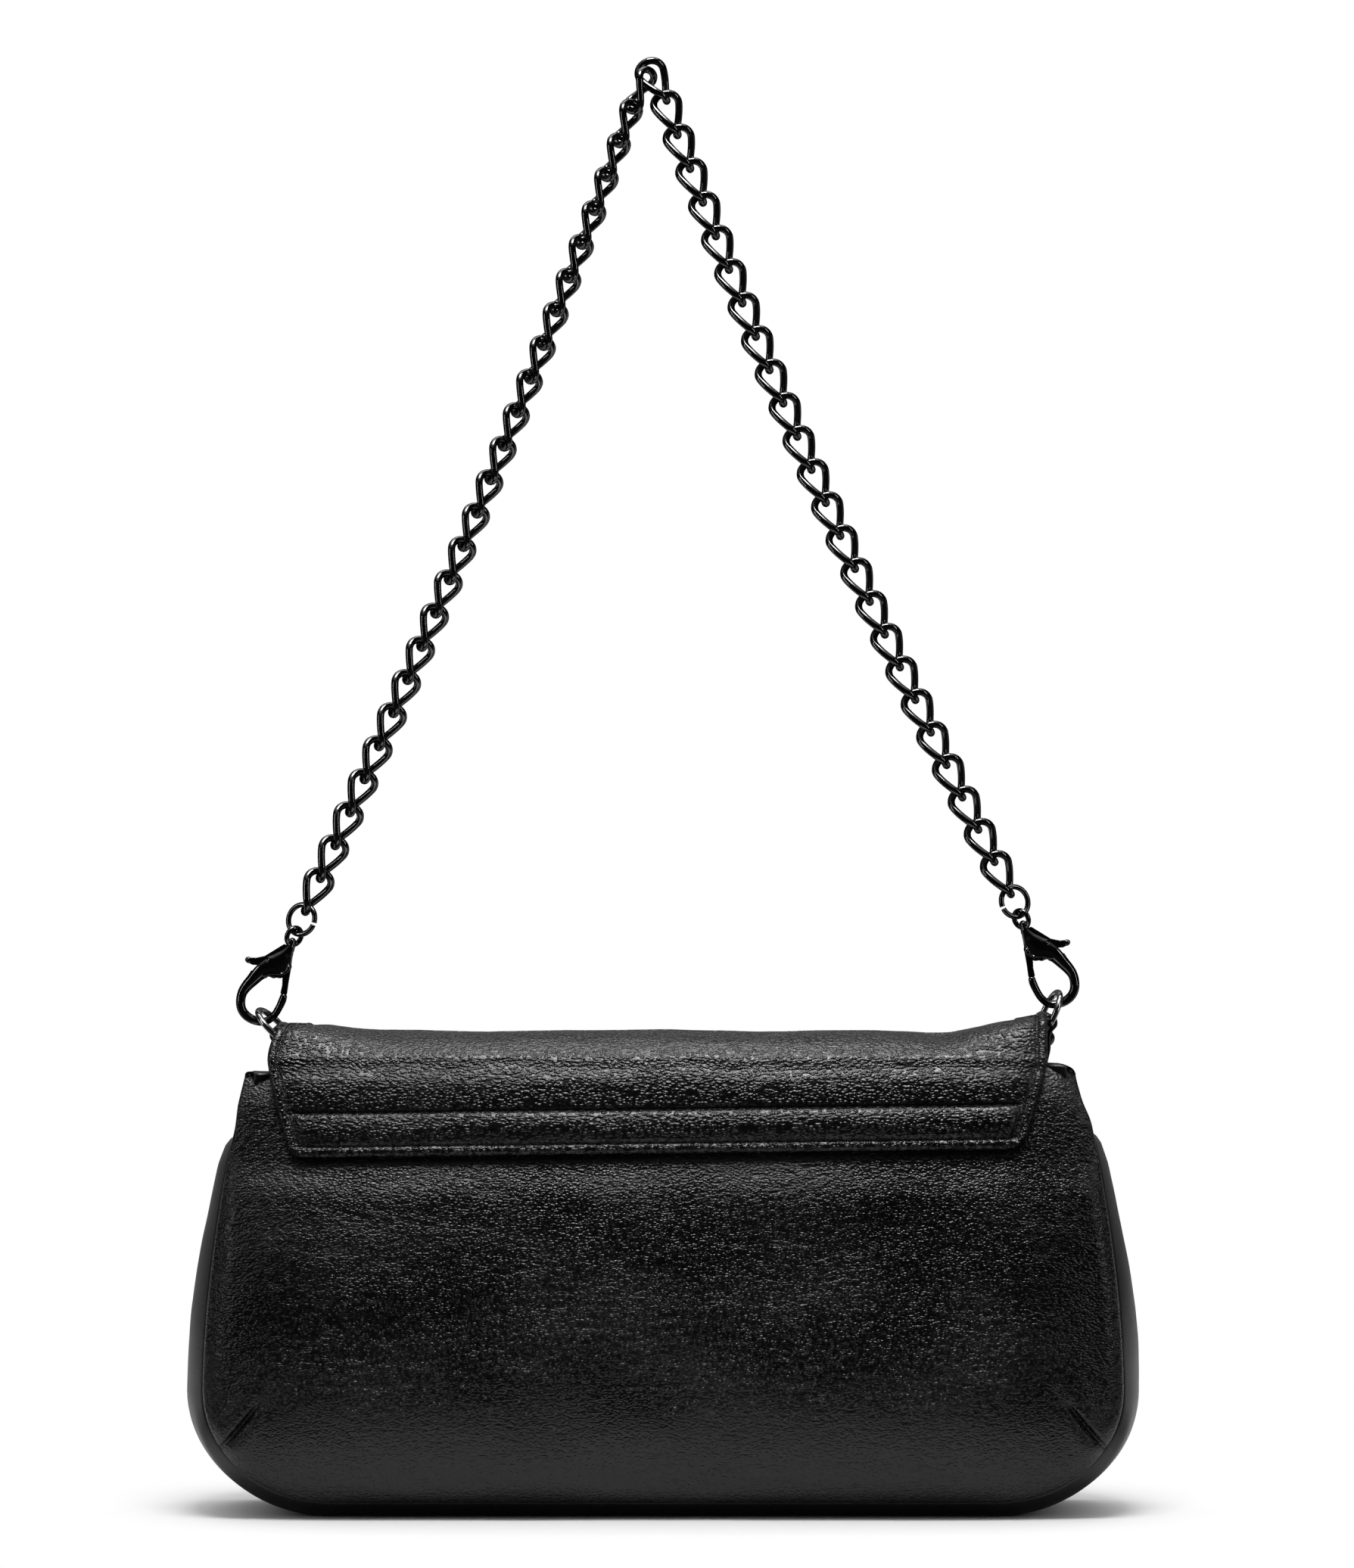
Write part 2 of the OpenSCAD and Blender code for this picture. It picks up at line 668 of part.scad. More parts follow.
// Outlines of the clasp in shares of its length: down from the eye, and outwards to the knob's side
clasp_outer_shares = [[0.05, -0.05], [0.12, -0.065], [0.3, -0.118], [0.385, -0.139], [0.49, -0.139],
    [0.5, -0.165], [0.57, -0.195], [0.64, -0.205], [0.757, -0.203], [0.84, -0.175], [0.904, -0.139],
    [0.965, -0.08], [1, 0], [0.995, 0.07], [0.979, 0.139], [0.925, 0.2], [0.85, 0.256], [0.755, 0.292],
    [0.63, 0.292], [0.48, 0.238], [0.38, 0.181], [0.24, 0.12], [0.1, 0.068], [0.05, 0.05]];
clasp_hole_shares = [[0.46, -0.139], [0.46, -0.06], [0.47, 0], [0.498, 0.057], [0.54, 0.105], [0.598, 0.142],
    [0.66, 0.168], [0.722, 0.178], [0.78, 0.18], [0.815, 0.174], [0.85, 0.15], [0.879, 0.117], [0.885, 0.06],
    [0.883, 0], [0.879, -0.05], [0.86, -0.095], [0.811, -0.117], [0.74, -0.128], [0.68, -0.132],
    [0.616, -0.118], [0.6, -0.24], [0.4, -0.24]];
// The slot that the lever turns in runs between these shares of the length
slot_from_share = 0.14;
slot_to_share = 0.47;
lever_pin_shares = [0.206, -0.02];
lever_shares = [[0.15, -0.05], [0.2, -0.078], [0.32, -0.122], [0.45, -0.176], [0.578, -0.192],
    [0.582, -0.155], [0.578, -0.118], [0.5, -0.098], [0.4, -0.075], [0.3, -0.04], [0.28, 0.01],
    [0.3, 0.08], [0.36, 0.17], [0.43, 0.245], [0.445, 0.3], [0.425, 0.325], [0.395, 0.315],
    [0.33, 0.22], [0.24, 0.1], [0.16, 0.03]];
hook_t = 3;
slot_t = 1.9;
lever_t = 1.6;
lever_hub_t = 0.7;
lever_hub_r = 2;
pin_r = 0.65;
pin_play = 0.05;
eye_r = 2.5;
eye_wire = 1.3;
// Shares of the clasp's length: where the ring's wire lies in the hook
hook_seat_share = 0.833;
hook_seat_right_share = 0.04;
hook_seat_left_share = 0.02;
// Turn of the eye, from facing the back towards the knob's side
eye_turn = 42;
function seat_share(side) = side == left ? hook_seat_left_share : hook_seat_right_share;

// Direction down a clasp and direction to its knob's side, as [x, z] on a side
function clasp_down(side) = [side * sin(clasp_tilt), -cos(clasp_tilt)];
function clasp_side(side) = [side * cos(clasp_tilt), sin(clasp_tilt)];

ring_reach = ring_leg + ring_r;
function ring_top(side) = [side * tab_x, bar_z(side)]
    + ring_reach * [side * sin(lean(side)), cos(lean(side))];
function eye_at(side) = ring_top(side) - hook_seat_share * clasp_l * clasp_down(side)
    - seat_share(side) * clasp_l * clasp_side(side);

// Draws in the clasp's own frame: X down the clasp, Y to the knob's side, Z through its thickness
module clasp_frame(side) {
    e = eye_at(side);
    translate([e[0], strap_y, e[1]])
        mirror([side == left ? 1 : 0, 0, 0])
            rotate([0, 90 - clasp_tilt, 0])
                rotate([90, 0, 0])
                    children();
}

module flat_piece(shares, t) {
    translate([0, 0, -t / 2])
        linear_extrude(t)
            polygon(clasp_l * shares);
}

module pin_hole(r, t) {
    translate([lever_pin_shares[0] * clasp_l, lever_pin_shares[1] * clasp_l, 0])
        cylinder(h = t, r = r, center = true, $fn = 48);
}

module clasp_body(side) {
    color(metal_colour)
        clasp_frame(side) {
            difference() {
                flat_piece(clasp_outer_shares, clasp_t);
                flat_piece(clasp_hole_shares, clasp_t + cut_over);
                // The slot for the lever
                translate([slot_from_share * clasp_l, -clasp_l, -slot_t / 2])
                    cube([(slot_to_share - slot_from_share) * clasp_l, 2 * clasp_l, slot_t]);
                // The hook is thinner than the cheeks
                for (s = [left, right])
                    translate([slot_to_share * clasp_l, -clasp_l, s * (hook_t + clasp_t) / 2 - clasp_t / 2])
                        cube([clasp_l, 2 * clasp_l, clasp_t]);
                pin_hole(pin_r, clasp_t + cut_over);
            }
            rotate([eye_turn, 0, 0])
                rotate_extrude($fn = 96)
                    translate([eye_r, 0])
                        circle(d = eye_wire, $fn = 48);
        }
}

module clasp_lever(side) {
    color(metal_colour)
        clasp_frame(side)
            difference() {
                flat_piece(lever_shares, lever_t);
                pin_hole(pin_r + pin_play, lever_t + cut_over);
                for (s = [left, right])
                    translate([0, 0, s * (lever_hub_t + lever_t) / 2])
                        pin_hole(lever_hub_r, lever_t);
            }
}

module clasp_pin(side) {
    color(bright_colour)
        clasp_frame(side)
            pin_hole(pin_r - metal_gap, clasp_t);
}

// Coil of the return spring, beside the hub of the lever
spring_wire = 0.3;
spring_gap = 0.12;
module clasp_spring(side) {
    color(bright_colour)
        clasp_frame(side)
            translate([lever_pin_shares[0] * clasp_l, lever_pin_shares[1] * clasp_l,
                    (lever_hub_t + spring_wire) / 2 + spring_gap])
                rotate_extrude($fn = 48)
                    translate([(pin_r + lever_hub_r) / 2, 0])
                        circle(d = spring_wire, $fn = 24);
}

// Jump rings

jump_seat = 0.95;
jump_lean_left = 24;
jump_lean_right = 21;
jump_turn_left = -30;
jump_turn_right = 28;
jump_split = 9;
function jump_lean(side) = side == left ? jump_lean_left : jump_lean_right;
function jump_at(side) = eye_at(side)
    + (jump_r + jump_seat) * [-side * sin(jump_lean(side)), cos(jump_lean(side))];

module jump_ring(side) {
    j = jump_at(side);
    color(metal_colour)
        translate([j[0], strap_y, j[1]])
            rotate([0, -side * jump_lean(side), 0])
                rotate([0, 0, side == left ? jump_turn_left : jump_turn_right])
                    rotate([0, side == left ? 0 : 180, 0])
                        rotate([0, -jump_split, 0])
                            wire_arc(jump_r, jump_wire, 360 - jump_split);
}

// Chain

// First link's middle above the middle of its jump ring
link_play = 0.3;
first_step = link_l / 2 + jump_r - jump_wire / 2 - chain_wire / 2 - link_play;
// Turn of the links about their strand, at the bottom and at the top
roll_left = [60, 85];
roll_right = [50, 56];
// The two top links: the step from the link below, then the lean and the turn of the link itself
top_left_turns = [2.6, 4.1, 93];
top_right_turns = [4.2, 9.5, 49];
// Place of the right top link from the left one, in shares of the pitch
top_offset_share = [0.524, 0.039, 0.245];

// A curb link with its axis along Z and its broad side along X
module curb_link() {
    a = link_l / 2 - link_r;
    e = link_r * [cos(link_twist), sin(link_twist)];
    for (s = [left, right]) {
        translate([0, 0, s * a])
            rotate([0, 0, s * link_twist])
                rotate([0, s == left ? 180 : 0, 0])
                    wire_arc(link_r, chain_wire, 180);
        rod([s * e[0], -s * e[1], -a], [s * e[0], s * e[1], a], chain_wire);
        for (t = [left, right])
            ball([s * e[0], s * t * e[1], t * a], chain_wire);
    }
}

function bow(side) = side == left ? bow_left : bow_right;
// Lean of a link, counted from the strand's chord
function bow_at(side, k) = bow(side) * (1 - 2 * k / strand_links);
function step_at(k) = k == 0 ? first_step : link_pitch;
// Straight distance from a jump ring to its strand's top link
function chord(side, k = 0) = k > strand_links ? 0 : step_at(k) * cos(bow_at(side, k)) + chord(side, k + 1);

// The two chords meet at the top
base_vector = jump_at(right) - jump_at(left)
    - link_pitch * [top_offset_share[0], top_offset_share[2]];
base_len = norm(base_vector);
function chord_angle(side) = let(c = chord(side), o = chord(-side))
    acos((base_len * base_len + c * c - o * o) / (2 * base_len * c));
base_tilt = atan2(base_vector[1], base_vector[0]);
function chord_lean(side) = 90 - chord_angle(side) - (side == left ? 1 : -1) * base_tilt;

function link_lean(side, k) = chord_lean(side) + bow_at(side, k);
function link_at(side, k) = let(a = link_lean(side, k), below = k == 0 ? jump_at(side) : link_at(side, k - 1))
    below + step_at(k) * [-side * sin(a), cos(a)];
function roll_at(side, k) = let(r = side == left ? roll_left : roll_right)
    mix(r[0], r[1], k / strand_links);

module place_link(p, y, side, a, roll) {
    translate([p[0], y, p[1]])
        rotate([0, -side * a, 0])
            rotate([0, 0, roll])
                curb_link();
}

module strand(side) {
    turns = side == left ? top_left_turns : top_right_turns;
    below = link_at(side, strand_links - 1);
    a = link_lean(side, strand_links);
    top = below + link_pitch * [-side * sin(a + turns[0]), cos(a + turns[0])];
    y_top = side == left ? 0 : top_offset_share[1] * link_pitch;
    color(metal_colour) {
        for (k = [0 : strand_links - 1])
            place_link(link_at(side, k), strap_y, side, link_lean(side, k), roll_at(side, k));
        place_link(top, strap_y + y_top, side, a + turns[1], turns[2]);
    }
}

back_panel();
front_panel();
gusset();
lining();
mouth_facing();
base_board();
slip_pocket();
flap_yoke();
flap_crown();
flap_crown_lining();
flap_front();
flap_front_lining();
snap_socket();
snap_socket_washer();
snap_stud();
snap_stud_washer();
ring_tab(left);  // ring_tab_left
ring_tab(right);  // ring_tab_right
rivet(left);  // rivet_left
rivet(right);  // rivet_right
d_ring(left);  // d_ring_left
d_ring(right);  // d_ring_right
clasp_body(left);  // clasp_body_left
clasp_body(right);  // clasp_body_right
clasp_lever(left);  // clasp_lever_left
clasp_lever(right);  // clasp_lever_right
clasp_pin(left);  // clasp_pin_left
clasp_pin(right);  // clasp_pin_right
clasp_spring(left);  // clasp_spring_left
clasp_spring(right);  // clasp_spring_right
jump_ring(left);  // jump_ring_left
jump_ring(right);  // jump_ring_right
strand(left);  // chain_left
strand(right);  // chain_right
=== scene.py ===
# Small leather shoulder bag with a fold-over flap and a curb chain strap.
# Sizes are in millimetres unless a name says otherwise. The frame and Blender are in metres.

import math
from itertools import product

import bpy
import numpy as np
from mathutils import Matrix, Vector

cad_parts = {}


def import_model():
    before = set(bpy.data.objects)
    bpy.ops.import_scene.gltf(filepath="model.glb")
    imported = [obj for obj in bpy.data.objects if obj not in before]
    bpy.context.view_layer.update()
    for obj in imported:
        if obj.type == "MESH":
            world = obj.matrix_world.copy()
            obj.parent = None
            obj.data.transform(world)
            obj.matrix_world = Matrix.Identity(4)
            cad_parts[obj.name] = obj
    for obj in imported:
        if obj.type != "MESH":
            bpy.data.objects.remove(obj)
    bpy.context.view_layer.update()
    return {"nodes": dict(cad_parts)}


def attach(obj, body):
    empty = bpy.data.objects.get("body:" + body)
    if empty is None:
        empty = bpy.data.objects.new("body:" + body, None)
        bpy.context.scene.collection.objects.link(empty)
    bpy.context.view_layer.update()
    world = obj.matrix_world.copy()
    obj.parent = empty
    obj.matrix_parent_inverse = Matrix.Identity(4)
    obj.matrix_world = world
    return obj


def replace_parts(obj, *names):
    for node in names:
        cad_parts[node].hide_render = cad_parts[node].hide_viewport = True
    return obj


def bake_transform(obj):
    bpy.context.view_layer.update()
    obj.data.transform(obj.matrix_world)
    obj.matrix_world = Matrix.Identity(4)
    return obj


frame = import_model()
cad_nodes = frame["nodes"]

MM = 0.001
LEFT = -1
RIGHT = 1

# Sizes that the solids have too

body_half_w = 129.5
body_h = 127.0
corner_z = 36.0
corner_w = 36.0
seam_z = 4.5
corner_h = corner_z - seam_z
top_draw = 12.0
mouth_half_d = 15.5
base_half_d = 27.0
back_swell = 8.5
front_swell = 2.6
side_swell = 5.6
leather_t = 1.6
soft_gap = 0.25
pillow_h = 30.0
pillow_share = 0.32
swell_z = 40.0
mouth_swell_share = 0.24
fold_low_z = 96.0
fold_high_z = 117.0
skin_fold_low_z = 105.0
skin_fold_high_z = 119.0
skin_open_z = 110.5
corner_swell = 3.4

lining_t = 0.8
facing_t = 1.2
facing_h = 13.6
lining_out = 2.5
lining_in = 3.3
pocket_w = 120.0
pocket_h = 58.0
pocket_z = 40.0

flap_stack = 2.7
flap_lining_t = 0.7
fold_z = body_h + 1
crown_rise = 7.8
flap_z = 42.0
flap_half_w = 95.0
flap_corner_r = 22.0
crown_half_w = 102.0

strap_y = -4.0
tab_x = 108.6
tab_t = 1.3
tab_w = 8.6
tab_low_z = body_h - 8
tab_shift = 0.85
fold_x = 106.18
bar_z = {LEFT: 135.7, RIGHT: 139.0}
ring_lean = {LEFT: 45.0, RIGHT: 24.0}
ring_wire = 1.8
ring_r = 6.0
ring_leg = 3.0
ring_yaw = 12.0
tab_gap = 0.42
clasp_tilt = 24.0
clasp_l = 28.1
slot_t = 1.9
lever_t = 1.6
eye_r = 2.5
eye_wire = 1.5
eye_turn = 42.0
hook_seat_share = 0.833
seat_share = {LEFT: 0.02, RIGHT: 0.04}
jump_wire = 1.4
jump_skin_wire = 1.55
jump_r = 4.3
jump_seat = 0.95
jump_lean = {LEFT: 24.0, RIGHT: 21.0}
jump_turn = {LEFT: -30.0, RIGHT: 28.0}
jump_split = 9.0
chain_wire = 2.12
link_pitch = 10.25
link_l = 12.6
link_r = 4.2
link_twist = -48.0
link_play = 0.3
strand_links = 24
bow = {LEFT: 2.4, RIGHT: 3.5}
roll = {LEFT: (58.0, 83.0), RIGHT: (47.0, 51.0)}
top_turns = {LEFT: (3.2, 5.7, 89.8), RIGHT: (2.9, 9.4, 47.2)}
top_offset_share = (0.524, 0.052, 0.245)


# Plain functions


def ramp(a, b, x):
    """Share of the way from a to b, held at 0 before a and at 1 past b."""
    return np.clip((np.asarray(x, float) - a) / (b - a), 0, 1)


def ease(a, b, x):
    t = ramp(a, b, x)
    return t * t * (3 - 2 * t)


def puff(t):
    return 1 - np.power(1 - np.clip(t, 0, 1), 2.2)


def mix(a, b, t):
    return a + (b - a) * t


def bell(x, width):
    return np.exp(-np.square(np.asarray(x, float) / width))


def unit(v):
    return v / np.maximum(np.linalg.norm(v, axis=-1, keepdims=True), 1e-12)


def xyz(x, y, z):
    return np.stack(np.broadcast_arrays(x, y, z), axis=-1)


def sine_steps(count):
    """Steps from -1 to 1, closer together towards both ends."""
    return np.sin(np.linspace(-1, 1, count) * math.pi / 2)


def rotation(axis, deg):
    """Matrix that turns about x, y or z."""
    k = "xyz".index(axis)
    i, j = (k + 1) % 3, (k + 2) % 3
    matrix = np.eye(3)
    matrix[i, i] = matrix[j, j] = math.cos(math.radians(deg))
    matrix[j, i] = math.sin(math.radians(deg))
    matrix[i, j] = -matrix[j, i]
    return matrix


def turns(count):
    return np.linspace(0, 2 * np.pi, count, endpoint=False)


def round_off(e, r):
    """How far a round edge of radius r stands back at a distance e from its end."""
    return r * (1 - np.sqrt(1 - np.square(1 - ramp(0, r, e))))


NOISE_CELLS = 32


def smooth_noise(points, size, seed):
    """Value noise from -1 to 1 at points, with lumps about size wide."""
    table = np.random.default_rng(seed).uniform(-1, 1, (NOISE_CELLS,) * 3)
    q = np.asarray(points, float) / size
    cell = np.floor(q).astype(int)
    f = q - cell
    f = f * f * (3 - 2 * f)
    total = np.zeros(q.shape[:-1])
    for corner in product((0, 1), repeat=3):
        weight = np.ones(q.shape[:-1])
        for axis in range(3):
            weight = weight * (f[..., axis] if corner[axis] else 1 - f[..., axis])
        at = (cell + np.array(corner)) % NOISE_CELLS
        total += weight * table[at[..., 0], at[..., 1], at[..., 2]]
    return total


def relief(points, layers):
    """Sum of layers of noise. An x_share under 1 draws the lumps out along X."""
    return sum(h * smooth_noise(points * [x_share, 1, 1], size, seed) for h, size, x_share, seed in layers)


def lengths(path):
    """How far along a path each of its points is."""
    return np.concatenate([[0], np.cumsum(np.linalg.norm(np.diff(path, axis=0), axis=1))])


def sample(at, along, columns):
    return np.stack([np.interp(at, along, c) for c in np.transpose(columns)], axis=-1)


def even(path, count, closed=False):
    """A path's points spaced evenly; a closed path comes with its first point again at its end."""
    along = lengths(path)
    return sample(np.linspace(0, along[-1], count, endpoint=not closed), along, path)


SPLINE_STEPS = 24


def spline(points, count):
    """Points evenly spaced along a smooth curve through the given ones."""
    p = np.asarray(points, float)
    last = len(p) - 1
    t = np.linspace(0, 1, SPLINE_STEPS, endpoint=False)[:, None]
    dense = []
    for i in range(last):
        a, b, c, d = p[max(i - 1, 0)], p[i], p[i + 1], p[min(i + 2, last)]
        dense.append(0.5 * (2 * b + (c - a) * t + (2 * a - 5 * b + 4 * c - d) * t**2
                            + (3 * b - a - 3 * c + d) * t**3))
    return even(np.vstack(dense + [p[-1:]]), count)


def grid_normals(p):
    """Unit normals of a grid of points: along the rows crossed with along the columns."""
    return unit(np.cross(np.gradient(p, axis=0), np.gradient(p, axis=1)))


# Mesh makers


def scene_object(name, data):
    thing = bpy.data.objects.new(name, data)
    bpy.context.scene.collection.objects.link(thing)
    return thing


def mesh_object(name, points, faces):
    """An object from points in millimetres."""
    mesh = bpy.data.meshes.new(name)
    mesh.from_pydata((np.asarray(points, float) * MM).tolist(), [], [list(f) for f in faces])
    return scene_object(name, mesh)


def smooth_shaded(mesh, material):
    mesh.polygons.foreach_set("use_smooth", [True] * len(mesh.polygons))
    mesh.materials.clear()
    mesh.materials.append(material)


def new_piece(name, points, faces, material, body, slot, replaces=()):
    """A smooth visible piece, which rides on a body if one is given."""
    piece = mesh_object(name, points, faces)
    piece.data.validate()
    smooth_shaded(piece.data, material)
    if body:
        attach(piece, body)
    if replaces:
        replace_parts(piece, *replaces)
    return piece


def quads(n, m, wrap=False):
    """Corner indices of the quads of a grid of n rows and m columns."""
    i, j = np.meshgrid(np.arange(n if wrap else n - 1), np.arange(m - 1), indexing="ij")
    i, j = i.ravel(), j.ravel()
    k = (i + 1) % n
    return np.stack([i * m + j, k * m + j, k * m + j + 1, i * m + j + 1], axis=1)


def sheet_mesh(outer, into, thickness, edge, flip=False):
    """A closed sheet with round edges. edge is each point's distance from the nearest free edge."""
    n, m, _ = outer.shape
    t = np.broadcast_to(np.asarray(thickness, float), (n, m))
    sunk = round_off(edge, t / 2)[..., None]
    top = outer + into * sunk
    low = outer + into * t[..., None] - into * sunk
    top_id = np.arange(n * m).reshape(n, m)
    low_id = np.where(edge < t * 5e-7, top_id, top_id + n * m)
    corner = quads(n, m)
    faces = np.vstack([top_id.ravel()[corner][:, ::-1], low_id.ravel()[corner]])
    points = np.vstack([top.reshape(-1, 3), low.reshape(-1, 3)])
    used = np.unique(faces)
    renumber = np.zeros(len(points), int)
    renumber[used] = np.arange(len(used))
    faces = renumber[faces]
    return points[used], faces[:, ::-1] if flip else faces


def loft_mesh(rings, closed=False):
    """A tube through rings of points."""
    rings = np.asarray(rings, float)
    n, m, _ = rings.shape
    faces = []
    for i in range(n if closed else n - 1):
        a, b = i * m, ((i + 1) % n) * m
        faces += [[a + j, a + (j + 1) % m, b + (j + 1) % m, b + j] for j in range(m)]
    if not closed:
        faces.append(list(range(m - 1, -1, -1)))
        faces.append([(n - 1) * m + j for j in range(m)])
    return rings.reshape(-1, 3), faces


def ring_points(path, across, other, turn):
    """A ring round each point of a path, with half widths across and other."""
    cos, sin = np.cos(turn)[..., None], np.sin(turn)[..., None]
    return path[:, None] + across[:, None] * cos + other[:, None] * sin


def wire_mesh(path, wire, sides=14, closed=False):
    """Round wire along any path, carried along without twist."""
    n = len(path)
    tangent = unit(np.roll(path, -1, 0) - np.roll(path, 1, 0) if closed else np.gradient(path, axis=0))
    across = [unit(np.cross(tangent[0], [0.3, 0.5, 0.81]))]
    for t in [*tangent[1:], tangent[0]]:
        across.append(unit(across[-1] - t * np.dot(across[-1], t)))
    last = across.pop()
    back = np.zeros(n)
    if closed:
        twist = math.atan2(np.dot(np.cross(across[0], last), tangent[0]), np.dot(across[0], last))
        back = -twist * np.arange(n) / n
    across = np.array(across) * wire / 2
    rings = ring_points(path, across, np.cross(tangent, across), turns(sides) + back[:, None])
    return loft_mesh(rings, closed)


def joined(parts):
    """One list of points and one of faces from several."""
    points, faces, start = [], [], 0
    for p, f in parts:
        points.append(p)
        faces += [[start + k for k in face] for face in f]
        start += len(p)
    return np.vstack(points), faces


STITCH_SIDES = 6
STITCH_RINGS = 6
stitch_l = 2.3
stitch_pitch = 3.0
stitch_thread = 0.42
stitch_lift = 0.05
stitch_dive = 0.42
stitch_slant = 9.0


def stitch_parts(path, normals):
    """Threads laid along a path, each diving into the leather at its ends."""
    along = lengths(path)
    count = max(1, int(along[-1] // stitch_pitch))
    shift = (along[-1] - count * stitch_pitch) / 2
    t = np.linspace(-1, 1, STITCH_RINGS)
    slant = (t * stitch_l / 2 * math.tan(math.radians(stitch_slant)))[:, None]
    lift = (stitch_lift - stitch_dive * t**4)[:, None]
    r = (stitch_thread / 2 * np.sqrt(1 - 0.75 * t**4))[:, None]
    parts = []
    for k in range(count):
        centre = shift + (k + 0.5) * stitch_pitch
        p = sample(centre + t * stitch_l / 2, along, path)
        n = unit(sample(centre, along, normals))
        side = np.cross(n, unit(p[-1] - p[0]))
        p = p + side * slant + n * lift
        parts.append(loft_mesh(ring_points(p, r * side, r * n, turns(STITCH_SIDES))))
    return parts


# Materials


def start_material(name):
    material = bpy.data.materials.new(name)
    material.use_nodes = True
    return material, material.node_tree, material.node_tree.nodes["Principled BSDF"]


def put(tree, socket, value):
    """A constant or another node's output, for an input."""
    if isinstance(value, bpy.types.NodeSocket):
        tree.links.new(value, socket)
    else:
        socket.default_value = value


def add(tree, kind, *inputs, out=0, **values):
    """Output of a new node. Values named with a capital are inputs, and the others are its settings."""
    node = tree.nodes.new(kind)
    for key in [key for key in values if key[0].islower()]:
        setattr(node, key, values.pop(key))
    for key, value in [*enumerate(inputs), *values.items()]:
        put(tree, node.inputs[key], value)
    return node.outputs[out]


def calc(tree, operation, a, b):
    return add(tree, "ShaderNodeMath", a, b, operation=operation)


def mapped(tree, source, low, high, to_low=0.0, to_high=1.0, kind="SMOOTHSTEP"):
    return add(tree, "ShaderNodeMapRange", source, low, high, to_low, to_high, interpolation_type=kind)


def stretched_place(tree, stretch, warp, warp_size):
    """Object coordinates in millimetres, drawn out along X and pushed about by noise."""
    place = add(tree, "ShaderNodeTexCoord", out="Object")
    scaled = add(tree, "ShaderNodeVectorMath", place, (stretch / MM, 1 / MM, 1 / MM), operation="MULTIPLY")
    noise = add(tree, "ShaderNodeTexNoise", Vector=scaled, Scale=1 / warp_size, Detail=2.0, out="Color")
    centred = add(tree, "ShaderNodeVectorMath", noise, (0.5, 0.5, 0.5), operation="SUBTRACT")
    sized = add(tree, "ShaderNodeVectorMath", centred, Scale=warp, operation="SCALE")
    return add(tree, "ShaderNodeVectorMath", scaled, sized, operation="ADD")


def cover(tree, shader, height, strength, depth, tone, colour, dark, rough):
    """Relief, roughness, and a colour that is darker by a share where tone is low."""
    bump = add(tree, "ShaderNodeBump", Strength=strength, Distance=depth * MM, Height=height)
    ramp = tree.nodes.new("ShaderNodeValToRGB")
    ramp.color_ramp.elements[0].color = (*[c * dark for c in colour], 1)
    ramp.color_ramp.elements[1].color = (*colour, 1)
    put(tree, ramp.inputs["Fac"], tone)
    put(tree, shader.inputs["Normal"], bump)
    put(tree, shader.inputs["Base Color"], ramp.outputs["Color"])
    put(tree, shader.inputs["Roughness"], rough)


leather_stretch = 0.6
patch_w = 30.0
smear_w = 3.0
peel_w = 0.8


def leather_material(name, colour, grain, grain_h, crease_w, crease_h, crinkle_w, crinkle_h, rough):
    """Black leather: pebbles, long creases, crinkles, uneven gloss, and painted shade that darkens the
    creases and the hollows between the pebbles. Heights are in millimetres.
    """
    material, tree, shader = start_material(name)
    place = stretched_place(tree, leather_stretch, 1.1, 2.2)
    wide = stretched_place(tree, leather_stretch * 0.7, 3.2, 5.0)
    pebble = add(tree, "ShaderNodeTexVoronoi", Vector=place, Scale=1 / grain, Smoothness=0.35,
                 feature="SMOOTH_F1", out="Distance")
    pebbles = mapped(tree, pebble, 0.1, 0.75, 1.0, 0.0)
    crease = add(tree, "ShaderNodeTexVoronoi", Vector=wide, Scale=1 / crease_w,
                 feature="DISTANCE_TO_EDGE", out="Distance")
    creases = mapped(tree, crease, 0.0, 0.16)
    crinkle = add(tree, "ShaderNodeTexNoise", Vector=wide, Scale=1 / crinkle_w, Detail=5.0, Roughness=0.62,
                  Distortion=0.9)
    patch = add(tree, "ShaderNodeTexNoise", Vector=place, Scale=1 / patch_w, Detail=2.0)
    patches = mapped(tree, patch, 0.35, 0.65, 0.45, 1.0)
    height = calc(tree, "MULTIPLY", pebbles, grain_h)
    for form, form_h in ((creases, crease_h), (crinkle, crinkle_h)):
        patchy = calc(tree, "MULTIPLY", form, patches)
        height = calc(tree, "ADD", height, calc(tree, "MULTIPLY", patchy, form_h))
    gloss = mapped(tree, patch, 0.3, 0.7, rough - 0.05, rough + 0.07, "LINEAR")
    # Colour goes down to 0.55 of itself in the creases and between the pebbles: painted shade in the hollows
    # of the grain.
    cover(tree, shader, height, 1.0, 1.0, calc(tree, "MULTIPLY", creases, pebbles), colour, 0.55, gloss)
    return material


